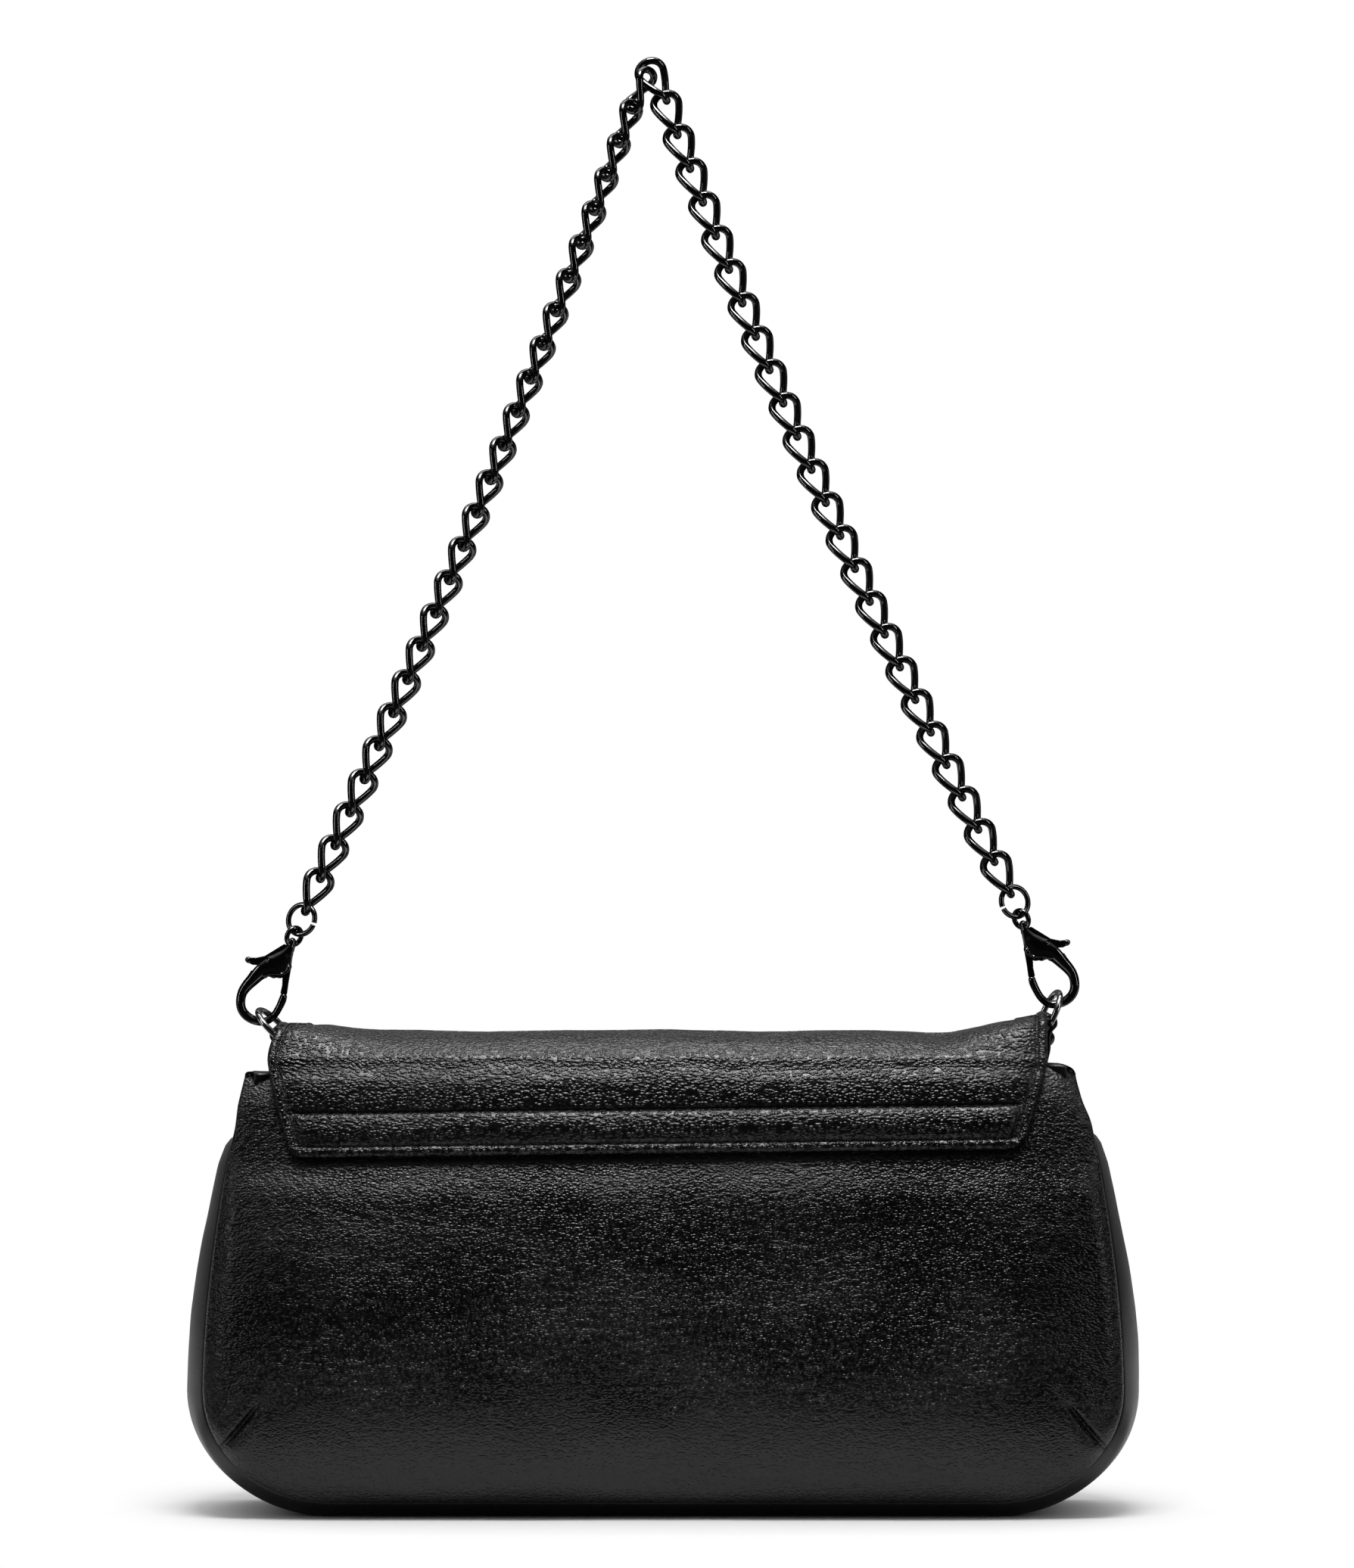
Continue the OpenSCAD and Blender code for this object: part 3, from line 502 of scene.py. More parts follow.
def fabric_material(name, colour, pitch=0.45):
    """Lining twill: slanted ribs of thread, with some fuzz, and painted shade in the grooves between the
    ribs.
    """
    material, tree, shader = start_material(name)
    place = stretched_place(tree, 1.0, 0.25, 3.0)
    slanted = add(tree, "ShaderNodeMapping", place, Rotation=(0.3, math.radians(58), 0.2))
    ribs = add(tree, "ShaderNodeTexWave", slanted, Scale=1 / (pitch * 6.3), Distortion=0.6,
               wave_type="BANDS", bands_direction="X", out="Fac")
    fuzz = add(tree, "ShaderNodeTexNoise", Vector=place, Scale=4.0, Detail=3.0)
    height = calc(tree, "ADD", calc(tree, "MULTIPLY", ribs, 0.09), calc(tree, "MULTIPLY", fuzz, 0.05))
    # Colour goes down to half in the grooves between the ribs: painted shade.
    cover(tree, shader, height, 1.0, 1.0, ribs, colour, 0.5, 0.8)
    shader.inputs["Sheen Weight"].default_value = 0.25
    return material


def metal_material(name, colour, rough, rim):
    """Polished plating with faint smears and a little orange peel. rim is its gloss at the edges."""
    material, tree, shader = start_material(name)
    place = stretched_place(tree, 1.0, 0.5, 2.0)
    smear = add(tree, "ShaderNodeTexNoise", Vector=place, Scale=1 / smear_w, Detail=4.0, Roughness=0.6)
    peel = add(tree, "ShaderNodeTexNoise", Vector=place, Scale=1 / peel_w, Detail=2.0)
    gloss = mapped(tree, smear, 0.3, 0.7, rough * 0.7, rough * 1.4, "LINEAR")
    cover(tree, shader, peel, 0.25, 0.02, smear, colour, 0.85, gloss)
    shader.inputs["Metallic"].default_value = 1.0
    shader.inputs["Specular Tint"].default_value = (rim, rim, rim, 1)
    return material


black = (0.002, 0.002, 0.0021)
body_leather = leather_material("body_leather", black, 0.6, 0.12, 2.3, 0.06, 1.6, 0.25, 0.28)
flap_leather = leather_material("flap_leather", black, 0.72, 0.19, 3.0, 0.04, 2.2, 0.1, 0.29)
plain_leather = leather_material("plain_leather", (0.0018, 0.0018, 0.0019), 0.7, 0.02, 4.2, 0.01, 3.0,
                                 0.06, 0.36)
lining_fabric = fabric_material("lining_fabric", (0.035, 0.034, 0.036))
thread_fabric = fabric_material("thread", (0.02, 0.02, 0.021), 0.2)
board_fibre = fabric_material("board_fibre", (0.14, 0.1, 0.07), 0.9)
black_nickel = metal_material("black_nickel", (0.12, 0.115, 0.118), 0.08, 0.15)
gunmetal = metal_material("gunmetal", (0.5, 0.49, 0.48), 0.12, 0.4)


# Body


def half_w(z, d=0.0):
    """Half the width of the body at height z, moved in by d."""
    z = np.asarray(z, float)
    rise = np.clip((z - corner_z) / (body_h - corner_z), 0, None)
    upper = body_half_w - d - top_draw * np.power(rise, 1.7)
    drop = np.clip(1 - np.square((corner_z - z) / (corner_h - d)), 0, None)
    lower = body_half_w - corner_w + (corner_w - d) * np.sqrt(drop)
    return np.where(z >= corner_z, upper, lower)


# The soft top of the body sinks in under the flap, from this height up
sink_from_z = 115.0
sink_in = 2.8


def seam_y(z):
    """Half the depth of the body between its seams."""
    sunk = sink_in * np.square(ramp(sink_from_z, body_h, z))
    return mouth_half_d + (base_half_d - mouth_half_d) * (1 - np.square(ramp(0, body_h, z))) - sunk


def swell_at(x, z):
    """How full a panel is, from 0 at its seams to 1."""
    high = np.power(ramp(swell_z, body_h, z), 1.3)
    sides = puff((1 - np.abs(x) / half_w(z)) / pillow_share)
    return (1 - (1 - mouth_swell_share) * high) * sides * puff((z - seam_z) / pillow_h)


def back_y(x, z):
    return -seam_y(z) - back_swell * swell_at(x, z)


def front_y(x, z):
    return seam_y(z) + front_swell * swell_at(x, z)


# The left end of the mouth hangs lower, and both ends are rounded off
left_sag = 2.5
end_drop = {LEFT: -0.2, RIGHT: 2.4}
# The front of the mouth hangs a little lower than its back, and the ends lie off to the left
front_sag = 0.9
end_shift = {LEFT: 0.7, RIGHT: 1.0}
# Where each of these sets in and where it is full: out along X, forward along Y, up along Z
sag_x, sag_z = (50, 118), (92, 126)
end_x, end_z = (112, 118), (110, 126)
front_x, front_forward = (80, 112), (-4, 8)
shift_x, shift_z = (60, 116), (110, 119)


def settled(p):
    """Points of the body, with the ends of its mouth let down."""
    p = np.array(p, float)
    x, z = p[..., 0], p[..., 2]
    wide = np.abs(x)
    sag = left_sag * ease(*sag_x, -x) * ease(*sag_z, z)
    drop = np.where(x < 0, end_drop[LEFT], end_drop[RIGHT])
    rounded = drop * np.square(ramp(*end_x, wide)) * ease(*end_z, z)
    low_front = front_sag * ease(*front_forward, p[..., 1]) * ease(*front_x, wide) * ease(*end_z, z)
    shift = np.where(x < 0, end_shift[LEFT], end_shift[RIGHT])
    p[..., 0] = x - shift * ease(*shift_x, wide) * ease(*shift_z, z)
    p[..., 2] = z - sag - rounded - low_front
    return p


def outline():
    """Seam line from the left of the mouth round the base to the right: x, z, normal x, normal z."""
    z = np.linspace(body_h, corner_z, 120, endpoint=False)
    side = np.stack([half_w(z), z, np.ones_like(z), np.zeros_like(z)], axis=1)
    a = np.linspace(0, np.pi / 2, 90, endpoint=False)
    corner = np.stack([body_half_w - corner_w + corner_w * np.cos(a), corner_z - corner_h * np.sin(a),
                       np.cos(a), -np.sin(a)], axis=1)
    half = np.vstack([side, corner])
    x = np.linspace(-1, 1, 121) * (body_half_w - corner_w)
    base = np.stack([x, np.full_like(x, seam_z), np.zeros_like(x), -np.ones_like(x)], axis=1)
    return np.vstack([half * [-1, 1, -1, 1], base, half[::-1]])


# Darts at the lower corners: where each leaves the seam, as an angle down the round, and its length
dart_angle = 31.0
dart_l = 17.0
station_step = 1.9
dart_step = 0.45


def station_list():
    """Stations along the seam, closer together at the darts, and the index of each dart's."""
    line = outline()
    along = lengths(line[:, :2])
    total = along[-1]
    a = math.radians(dart_angle)
    spot = np.array([corner_w - body_half_w - corner_w * math.cos(a), corner_z - corner_h * math.sin(a)])
    first = along[np.argmin(np.linalg.norm(line[:, :2] - spot, axis=1))]
    darts = [first, total - first]
    fine = np.linspace(0, total, 6000)
    near = sum(bell(fine - d, 5.0) for d in darts)
    density = 1 / station_step + (1 / dart_step - 1 / station_step) * np.clip(near, 0, 1)
    count = np.concatenate([[0], np.cumsum((density[1:] + density[:-1]) / 2 * np.diff(fine))])
    at = np.interp(np.linspace(0, count[-1], int(count[-1]) + 1), count, fine)
    found = [int(np.argmin(np.abs(at - d))) for d in darts]
    at[found] = darts
    return sample(at, along, line), at / total, found


stations, station_share, dart_index = station_list()

# Distances of a panel's first rows from the seam
seam_rows = np.array([0, 0.1, 0.3, 0.55, 0.8, 1.2, 1.7, 2.3, 3.0, 3.8, 4.7, 5.7, 6.9, 8.2, 9.6, 11.2,
                      13.0, 15.0, 17.0, 19.2])
far_rows = 40
column_lift = 0.35
roll_depth = 1.9
roll_w = 6.0
dart_depth = 1.5
quiet_seam = (1, 9)
# Heights and places where a flap lies on the panel, and where creases set in on the back
under_yoke_z = (90, 101)
under_flap_z = (30, 46)
beside_flap_x, beside_flap_z = (88, 100), (100, 118)
crease_z = (45, 70)
side_full_z = (104, 55)

# Layers of noise: height, size, x_share and seed of each
back_lumps = ((0.7, 34, 1, 3), (0.28, 13, 1, 4))
back_creases = ((0.16, 4.2, 0.35, 5), (0.1, 2.2, 0.5, 6))
front_lumps = ((0.5, 30, 1, 7), (0.2, 9, 1, 8))
gusset_lumps = ((0.35, 22, 1, 9), (0.12, 7, 1, 10))
flap_lumps = ((0.35, 26, 1, 21), (0.16, 7, 0.4, 22))
flap_creases = ((0.11, 2.6, 0.3, 23), (0.06, 1.5, 0.45, 24))


def panel_lines():
    """Grid of a panel in the plane of its seam: x, z and the distance from the seam."""
    reach = float(half_w(body_h)) - leather_t
    grid = []
    t = np.linspace(0, 1, 80)[:, None]
    for s, share in zip(stations, station_share):
        start, end = s[:2], np.array([mix(-reach, reach, share), body_h])
        inward = unit(np.array([-s[2], -s[3] + column_lift]))
        hold = min(24.0, 0.36 * np.linalg.norm(end - start))
        b, c = start + inward * hold, end - np.array([0, hold])
        curve = start * (1 - t)**3 + b * 3 * t * (1 - t)**2 + c * 3 * t**2 * (1 - t) + end * t**3
        along = lengths(curve)
        near = seam_rows * min(1.0, along[-1] / 60)
        at = np.concatenate([near, np.linspace(near[-1], along[-1], far_rows + 1)[1:]])
        grid.append(np.column_stack([sample(at, along, curve), at]))
    return np.moveaxis(np.array(grid), -1, 0)


def darts(x, z, seam, bulge):
    """For each dart, its side, the place of its tip, and its relief."""
    for index, side in zip(dart_index, (LEFT, RIGHT)):
        tip = int(np.argmin(np.abs(seam[index] - dart_l)))
        line = np.stack([x[index, :tip + 1], z[index, :tip + 1]], axis=1)
        away = np.stack([x, z], -1)[:, :, None] - line[None, None]
        off = np.min(np.linalg.norm(away, axis=-1), axis=2)
        pinch = dart_depth * bell(off, 0.75) * mix(0.25, 1, ease(dart_l + 0.5, dart_l - 5, seam))
        beside = bell(off - 3.2, 3.4) * ease(dart_l + 3, dart_l - 9, seam) * ease(0, 3, seam)
        yield side, line[-1], bulge * beside - pinch


def back_surface():
    """Outer side of the back panel."""
    x, z, seam = panel_lines()
    free = 1 - ease(*under_yoke_z, z)
    flat = xyz(x, 0, z)
    out = roll_depth * puff(seam / roll_w) * mix(0.25, 1, free)
    creases = relief(flat, back_creases) * mix(0.35, 1, ease(*crease_z, z))
    out = out + free * ease(*quiet_seam, seam) * (relief(flat, back_lumps) + creases)
    for side, tip, dart in darts(x, z, seam, 0.9):
        dx, dz = x - tip[0], z - tip[1]
        fan, far = np.arctan2(dz, dx * -side), np.hypot(dx, dz)
        pucker = 0.35 * np.sin(fan * 7 + 1.0) * bell(far - 3.5, 3.0) * ease(-0.5, 2, far - 1)
        out = out + dart + pucker - 0.6 * bell(far, 1.6)
    return xyz(x, back_y(x, z) - out * mix(0.4, 1, ease(0, 6, body_h - z)), z), seam


def front_surface():
    """Outer side of the front panel, which is calm where the flap lies on it."""
    x, z, seam = panel_lines()
    beside = ease(*beside_flap_x, np.abs(x)) * (1 - ease(*beside_flap_z, z))
    free = np.maximum(1 - ease(*under_flap_z, z), beside)
    flat = xyz(x, 50, z)
    out = roll_depth * puff(seam / roll_w) * mix(0.3, 1, free)
    out = out + free * ease(*quiet_seam, seam) * relief(flat, front_lumps)
    out = out + sum(dart for _, _, dart in darts(x, z, seam, 0.7))
    return xyz(x, front_y(x, z) + out, z), seam


def panel(name, surface, into):
    points, seam = surface
    edge = np.minimum(seam, np.maximum(body_h - points[..., 2], 0))
    edge[[0, -1]] = 0
    sheet = sheet_mesh(settled(points), np.array(into, float), leather_t, edge, into[1] < 0)
    new_piece(name + "_skin", *sheet, body_leather, "bag", "leather", (name,))


panel("back_panel", back_surface(), (0, 1, 0))
panel("front_panel", front_surface(), (0, -1, 0))

gusset_shares = sine_steps(33)


def gusset():
    """One strip round the body, made across its width at each station."""
    x, z, nx, nz = (stations[:, k][:, None] for k in range(4))
    v = gusset_shares[None, :]
    k = ease(skin_fold_low_z, skin_fold_high_z, z)
    base = -nz
    round_share = 1 - np.power(np.abs(v), 2.6)
    full = side_swell * mix(0.6, 1, ease(*side_full_z, z)) * np.sqrt(ramp(skin_open_z, skin_open_z - 12, z))
    swell = full * (1 - k) * round_share * (1 - base) + k * (fold_x - np.abs(x)) * (1 - np.power(v, 6))
    swell = swell + corner_swell * base * (1 - base) * round_share
    drop = base * np.minimum(seam_z, 2.6 * seam_z * (1 - v * v))
    depth = seam_y(z) - leather_t - soft_gap
    lumps = relief(xyz(x, v * depth, z), gusset_lumps) * round_share * (1 - base)
    out = swell + drop + lumps
    points = xyz(x + nx * out, v * depth, z + nz * out)
    normal = grid_normals(points)
    towards = np.sum(normal * (np.array([0, 0, 70.0]) - points), axis=-1, keepdims=True)
    edge = depth * (1 - np.abs(v))
    edge[[0, -1]] = 0
    sheet = sheet_mesh(settled(points), np.where(towards > 0, normal, -normal), leather_t, edge, True)
    new_piece("gusset_skin", *sheet, plain_leather, "bag", "leather", ("gusset",))


gusset()


def loop_at(z, d, steps=90, side_steps=40):
    """Level loop inside the body at height z, moved in by d."""
    w = float(half_w(z, d))
    fold = float(ease(fold_low_z, fold_high_z, z)) * (fold_x - d - w)
    x = np.linspace(-w, w, steps)
    v = np.linspace(-1, 1, side_steps)[1:-1]
    back = xyz(x, back_y(x, z) + d, z)
    right = xyz(w + fold * (1 - v**6), v * (seam_y(z) - d), z)
    front = xyz(x[::-1], front_y(x[::-1], z) - d, z)
    return np.vstack([back, right, front, -right * [1, 1, -1]])


def band(name, levels, d_in, d_out, material, slot, edge, wrinkle=0.0):
    """A band round the inside of the body, with a closed floor if it has no lower edge."""
    outer = np.stack([loop_at(z, d_out) for z in levels], axis=1)
    inner = np.stack([loop_at(z, d_in) for z in levels], axis=1)
    slack = wrinkle * (1 + smooth_noise(inner * [1, 1, 0.6], 12, 12))
    inner = inner + unit(inner - outer) * slack[..., None]
    points = np.vstack([settled(inner).reshape(-1, 3), settled(outer).reshape(-1, 3)])
    n, m = inner.shape[:2]
    corner = quads(n, m, wrap=True)
    faces = [list(f) for f in np.vstack([corner, corner[:, ::-1] + n * m])]
    for i in range(n):
        k = (i + 1) % n
        faces.append([k * m, i * m, i * m + n * m, k * m + n * m])
        if edge:
            low, low_next = i * m + m - 1, k * m + m - 1
            faces.append([low, low_next, low_next + n * m, low + n * m])
    if not edge:
        faces.append([i * m + m - 1 for i in range(n)])
        faces.append([n * m + i * m + m - 1 for i in reversed(range(n))])
    new_piece(name + "_cloth", points, faces, material, "bag", slot, (name,))


floor_z = corner_z - (corner_h - lining_in) * math.sin(math.radians(76))
round_down = np.sin(np.linspace(0, 1, 12)[1:] * math.pi / 2)
lining_levels = np.concatenate([np.linspace(body_h - facing_h - soft_gap, corner_z, 26),
                                corner_z - (corner_z - floor_z) * round_down])
facing_levels = np.linspace(body_h - soft_gap, body_h - facing_h, 8)
facing_out = leather_t + soft_gap
band("lining", lining_levels, lining_in, lining_out, lining_fabric, "lining", False, 0.35)
band("mouth_facing", facing_levels, facing_out + facing_t, facing_out, plain_leather, "leather", True)

rim_h = 3.2
rim_out = 0.25
rim_in = facing_out + facing_t + 0.3


def mouth_rim():
    """Binding over the edge of the mouth."""
    line = loop_at(body_h, 0.0, 150, 60)
    across = unit(np.roll(line, -1, 0) - np.roll(line, 1, 0))
    outward = xyz(across[:, 1], -across[:, 0], 0)
    middle, half = (rim_out - rim_in) / 2, (rim_out + rim_in) / 2
    section = [(rim_out, -rim_h), (rim_out, -rim_h / 2)]
    section += [(middle + half * math.cos(t), 1.1 * math.sin(t) - 0.5) for t in np.linspace(0, math.pi, 13)]
    section += [(-rim_in, -rim_h / 2), (-rim_in, -rim_h)]
    rings = np.stack([line + outward * o + np.array([0, 0, h]) for o, h in section], axis=1)
    new_piece("mouth_binding", *loft_mesh(settled(rings), True), plain_leather, "bag", "leather")


mouth_rim()


def slip_pocket():
    """Pocket on the lining's back wall, a little slack at its mouth."""
    u, v = np.meshgrid(np.linspace(-1, 1, 81), np.linspace(0, 1, 41), indexing="ij")
    x, z = u * pocket_w / 2, pocket_z + v * pocket_h
    edge = np.minimum((1 - np.abs(u)) * pocket_w / 2, np.minimum(v, 1 - v) * pocket_h)
    slack = 1.6 * (1 - u**4) * v**3
    points = xyz(x, back_y(x, z) + lining_in + soft_gap + lining_t + slack, z)
    sheet = sheet_mesh(points, np.array([0, -1.0, 0]), lining_t, edge, True)
    new_piece("slip_pocket_cloth", *sheet, lining_fabric, "bag", "lining", ("slip_pocket",))


slip_pocket()


# Flap

# Middle height of the rear part's lower edge, and how much higher it is on the right than on the left
yoke_mid_z = 102.9
yoke_slope = 2.5 / 206
# Half widths of the rear part: at its lower edge, at its widest, and the height of the widest place
rear_low = {LEFT: 104.9, RIGHT: 101.6}
rear_wide = {LEFT: 112.1, RIGHT: 109.6}
rear_wide_z = {LEFT: 130.5, RIGHT: 135.0}
rear_corner_r = {LEFT: 2.2, RIGHT: 4.2}
corner_lift = {LEFT: 3.9, RIGHT: 7.0}
# A shallow dip in the top before the right corner
dip = 0.8
dip_x = 79.0
dip_w = 7.0
crown_corner = {LEFT: 108.8, RIGHT: 108.7}
corner_from = {LEFT: 0.71, RIGHT: 0.73}
stitch_in = 2.9
channel_h = 12.1
crown_shares = np.array([[-1, 0], [-0.95, 0.16], [-0.88, 0.36], [-0.76, 0.59], [-0.59, 0.79], [-0.36, 0.93],
                         [-0.08, 1], [0.25, 0.99], [0.52, 0.93], [0.74, 0.8], [0.89, 0.62], [0.97, 0.43]])
fold_y = float(back_y(0, body_h)) - soft_gap - flap_stack
front_fold_y = 20.5
# Relief of the flap: swell above its channel, of the channel, of its free part and along its edge, and
# depth of the seams
upper_bulge = 1.3
pad_h = 1.35
flap_puff = 0.35
edge_puff = 0.22
seam_depth = 0.5
channel_depth = 0.75
seam_half_w = 0.5
yoke_l = fold_z - yoke_mid_z
front_gap_top = 1.2
front_gap_low = 1.9 + 1.3 + 3 * soft_gap
front_slope = math.radians(-76.0)
settle_h = 22.0
snap_room_h = 45.0
unfold_hinge = np.array([20.5835, 130.992])
front_top = unfold_hinge + [math.cos(front_slope), math.sin(front_slope)]


def rear_half(side, z):
    share = np.clip((rear_wide_z[side] - z) / (rear_wide_z[side] - yoke_mid_z), 0, None)
    return rear_wide[side] - (rear_wide[side] - rear_low[side]) * np.power(share, 1.28)


def rear_row_half(side, e):
    return rear_half(side, yoke_mid_z + e) - round_off(e, rear_corner_r[side])


def crown_half(side, share):
    wide = mix(float(rear_half(side, fold_z)), crown_corner[side], ease(-0.97, -0.62, share))
    return mix(wide, crown_half_w, ease(-0.55, -0.34, share))


def front_out(x, z):
    gap = mix(front_gap_low, front_gap_top, ease(body_h - snap_room_h, body_h, z))
    lying = front_y(x, np.minimum(z, body_h)) + gap + flap_stack
    start = front_top[0] + (front_top[1] - z) * math.cos(front_slope) / -math.sin(front_slope)
    return mix(lying, start, ease(front_top[1] - settle_h, front_top[1], z))


def front_half(z):
    t = (z - flap_z) / (front_top[1] - flap_z)
    return mix(flap_half_w, crown_half_w, ease(0, 0.8, t)) - round_off(z - flap_z, flap_corner_r)


edge_columns = np.array([0, 0.08, 0.28, 0.58, 0.97, 1.45, 1.9, 2.25, 2.55, 2.9, 3.25, 3.6, 4.1, 4.8, 5.7,
                         6.8, 8.0])
middle_columns = 170
rear_rows = np.concatenate([[0, 0.08, 0.28, 0.58, 0.97, 1.4, 1.85, 2.25, 2.6, 2.9, 3.2, 3.6, 4.2, 4.9],
                            np.arange(5.6, 11.3, 0.7), [11.6, 11.95, channel_h, 12.4, 12.8, 13.4],
                            np.arange(14.1, yoke_l - 0.4, 0.75)])
crown_rows = np.linspace(0, len(crown_shares) - 1, 72)
crown_split = 40
front_rows = np.concatenate([np.linspace(front_top[1], flap_z + 5.6, 120), flap_z + rear_rows[13::-1]])
far_from_end = 99.0


def row_x(w_left, w_right):
    """Places across the flap: fixed distances from each side edge, and even steps between."""
    inner = edge_columns[-1]
    middle = np.linspace(-w_left + inner, w_right - inner, middle_columns + 2)[1:-1]
    return np.concatenate([-w_left + edge_columns, middle, w_right - edge_columns[::-1]])


def corner_rise(x):
    """How much higher the flap lies towards its corners."""
    left = corner_lift[LEFT] * ease(corner_from[LEFT], 1.0, -x / crown_corner[LEFT])
    share = (x / crown_corner[RIGHT] - corner_from[RIGHT]) / (1 - corner_from[RIGHT])
    right = corner_lift[RIGHT] * np.power(np.clip(share, 0, 1.02), 1.15)
    return left + right - dip * bell(x - dip_x, dip_w)


def flap_points():
    """Outer side of the flap, from the lower edge of its rear part over the mouth to its front edge.

    Also each point's distance from the side edge, and from the end.
    """
    rows = []
    for e in rear_rows:
        wl, wr = float(rear_row_half(LEFT, e)), float(rear_row_half(RIGHT, e))
        x = row_x(wl, wr)
        z = yoke_mid_z + e + yoke_slope * x * (1 - ease(13, yoke_l, e))
        y = np.minimum(back_y(x, np.minimum(z, body_h)) - soft_gap - flap_stack, fold_y)
        rows.append((wl, wr, e, x, y, z))
    index = np.arange(len(crown_shares))
    shares = spline(np.column_stack([index, crown_shares]), 400)
    for c in crown_rows:
        ys, zs = sample(c, shares[:, 0], shares[:, 1:])
        wl, wr = float(crown_half(LEFT, ys)), float(crown_half(RIGHT, ys))
        x = row_x(wl, wr)
        corners = corner_rise(x) * ease(-1, -0.72, ys) * (1 - ease(-0.5, 0.75, ys))
        y = mix(fold_y, front_fold_y, (ys + 1) / 2)
        rows.append((wl, wr, far_from_end, x, y, fold_z + zs * crown_rise + corners))
    for z in front_rows:
        w = float(front_half(z))
        x = row_x(w, w)
        rows.append((w, w, z - flap_z, x, front_out(x, z), z))
    p = np.array([xyz(x, y, z) for *_, x, y, z in rows])
    sides = np.array([np.minimum(x + wl, wr - x) for wl, wr, _, x, _, _ in rows])
    ends = np.array([np.full(len(x), end) for _, _, end, x, _, _ in rows])
    first, second = len(rear_rows), len(rear_rows) + len(crown_rows)
    k = np.arange(len(p))
    soften = np.maximum(bell(k - first, 5), bell(k - second, 6))[:, None, None]
    for _ in range(10):
        smoother = p.copy()
        smoother[1:-1] = (p[:-2] + 2 * p[1:-1] + p[2:]) / 4
        p = p + soften * (smoother - p)
    return p, sides, ends


def front_outline(inset=0.0, count=400):
    """Edge of the flap's front part, moved in, from the left top to the right top: x and z."""
    bend = 1 - np.sin(np.linspace(0, math.pi / 2, 60))
    z = np.concatenate([np.linspace(front_top[1], flap_z + flap_corner_r, 60, endpoint=False),
                        flap_z + flap_corner_r * bend])
    half = np.column_stack([front_half(z), z])
    line = even(np.vstack([half * [-1, 1], half[::-1]]), count)
    along = unit(np.gradient(line, axis=0))
    return line + np.column_stack([-along[:, 1], along[:, 0]]) * inset


def flap_surface():
    """Flap with its padded channel, stitch grooves and creases: points, normals and edge distances."""
    p, side, end = flap_points()
    out = grid_normals(p)
    out = np.where(out[:1, :1, 1:2] > 0, -out, out)
    rear = slice(0, len(rear_rows))
    crown = slice(len(rear_rows), len(rear_rows) + len(crown_rows))
    front = slice(crown.stop, None)
    border = front_outline()
    away = p[front][..., [0, 2]][:, :, None] - border[None, None, ::2]
    near = np.min(np.linalg.norm(away, axis=-1), axis=2)
    near[:, [0, -1]] = 0
    near[-1] = 0
    edge = side.copy()
    edge[rear] = np.minimum(side[rear], end[rear])
    edge[front] = np.minimum(near, side[front])
    lift = ease(3.2, 8, edge) * (relief(p, flap_lumps) + flap_puff)
    lift += edge_puff * bell(edge - 1.4, 1.0) - seam_depth * bell(edge - stitch_in, seam_half_w)
    rear_e = end[rear]
    inside = ease(stitch_in + 1.0, stitch_in + 2.6, side[rear])
    pad = np.sin(math.pi * ramp(stitch_in, channel_h, rear_e))
    full = mix(0.72, 1, ease(-70, 40, p[rear][..., 0]))
    lift[rear] += pad_h * full * np.power(pad, 0.62) * inside
    lift[rear] -= channel_depth * bell(rear_e - channel_h, seam_half_w) * inside
    lift[rear] += upper_bulge * ease(channel_h, channel_h + 8.5, rear_e)
    forward = np.arange(len(crown_rows)) / len(crown_rows)
    lift[crown] += (upper_bulge * (1 - ease(0, 0.45, forward)))[:, None]
    quiet = ease(channel_h, channel_h + 4, np.where(end > far_from_end - 1, 30, end))
    quiet[front] = ease(3.2, 10, edge[front])
    lift += relief(p, flap_creases) * quiet * ease(2.6, 5, side)
    return p + out * lift[..., None], out, edge


front_stack = 1.95
flap_all = flap_surface()
split = len(rear_rows) + crown_split


def bending_piece(name, mesh, material, slot):
    """A piece that rides on no body, its place baked into its points."""
    piece = new_piece(name, *mesh, material, None, slot)
    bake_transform(piece)
    return piece


def flap_piece(name, rows, cut_row):
    p, out, edge = (a[rows].copy() for a in flap_all)
    thinner = ease(fold_z - 1, fold_z + 6, p[..., 2])
    thick = np.where(p[..., 1] < fold_y / 2, mix(flap_stack, front_stack, thinner), front_stack)
    edge[cut_row] = 0
    return bending_piece(name, sheet_mesh(p, -out, thick, edge), flap_leather, "leather")


rear_skin = flap_piece("flap_rear_skin", slice(0, split + 1), -1)
front_skin = flap_piece("flap_front_skin", slice(split, None), 0)
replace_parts(rear_skin, "flap_yoke", "flap_crown")
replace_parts(front_skin, "flap_front")


def flap_lining(node, rows, short=0):
    """Cloth under the flap, a little inside its edges and some rows short of its end."""
    base = flap_points()[0][rows]
    out = grid_normals(base)
    facing = flap_all[1][rows][:1, :1, 1:2] * out[:1, :1, 1:2]
    part = (slice(0, len(base) - short), slice(4, -4))
    base, out = base[part], np.where(facing < 0, -out, out)[part]
    edge = np.maximum(flap_all[2][rows][part] - 0.9, 0)
    edge[:, [0, -1]] = 0
    edge[[0, -1]] = 0
    mesh = sheet_mesh(base - out * 2.0, -out, flap_lining_t, edge)
    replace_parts(bending_piece(node + "_cloth", mesh, lining_fabric, "lining"), node)


flap_lining("flap_crown_lining", slice(len(rear_rows) + 6, split + 1))
flap_lining("flap_front_lining", slice(split, None), 5)


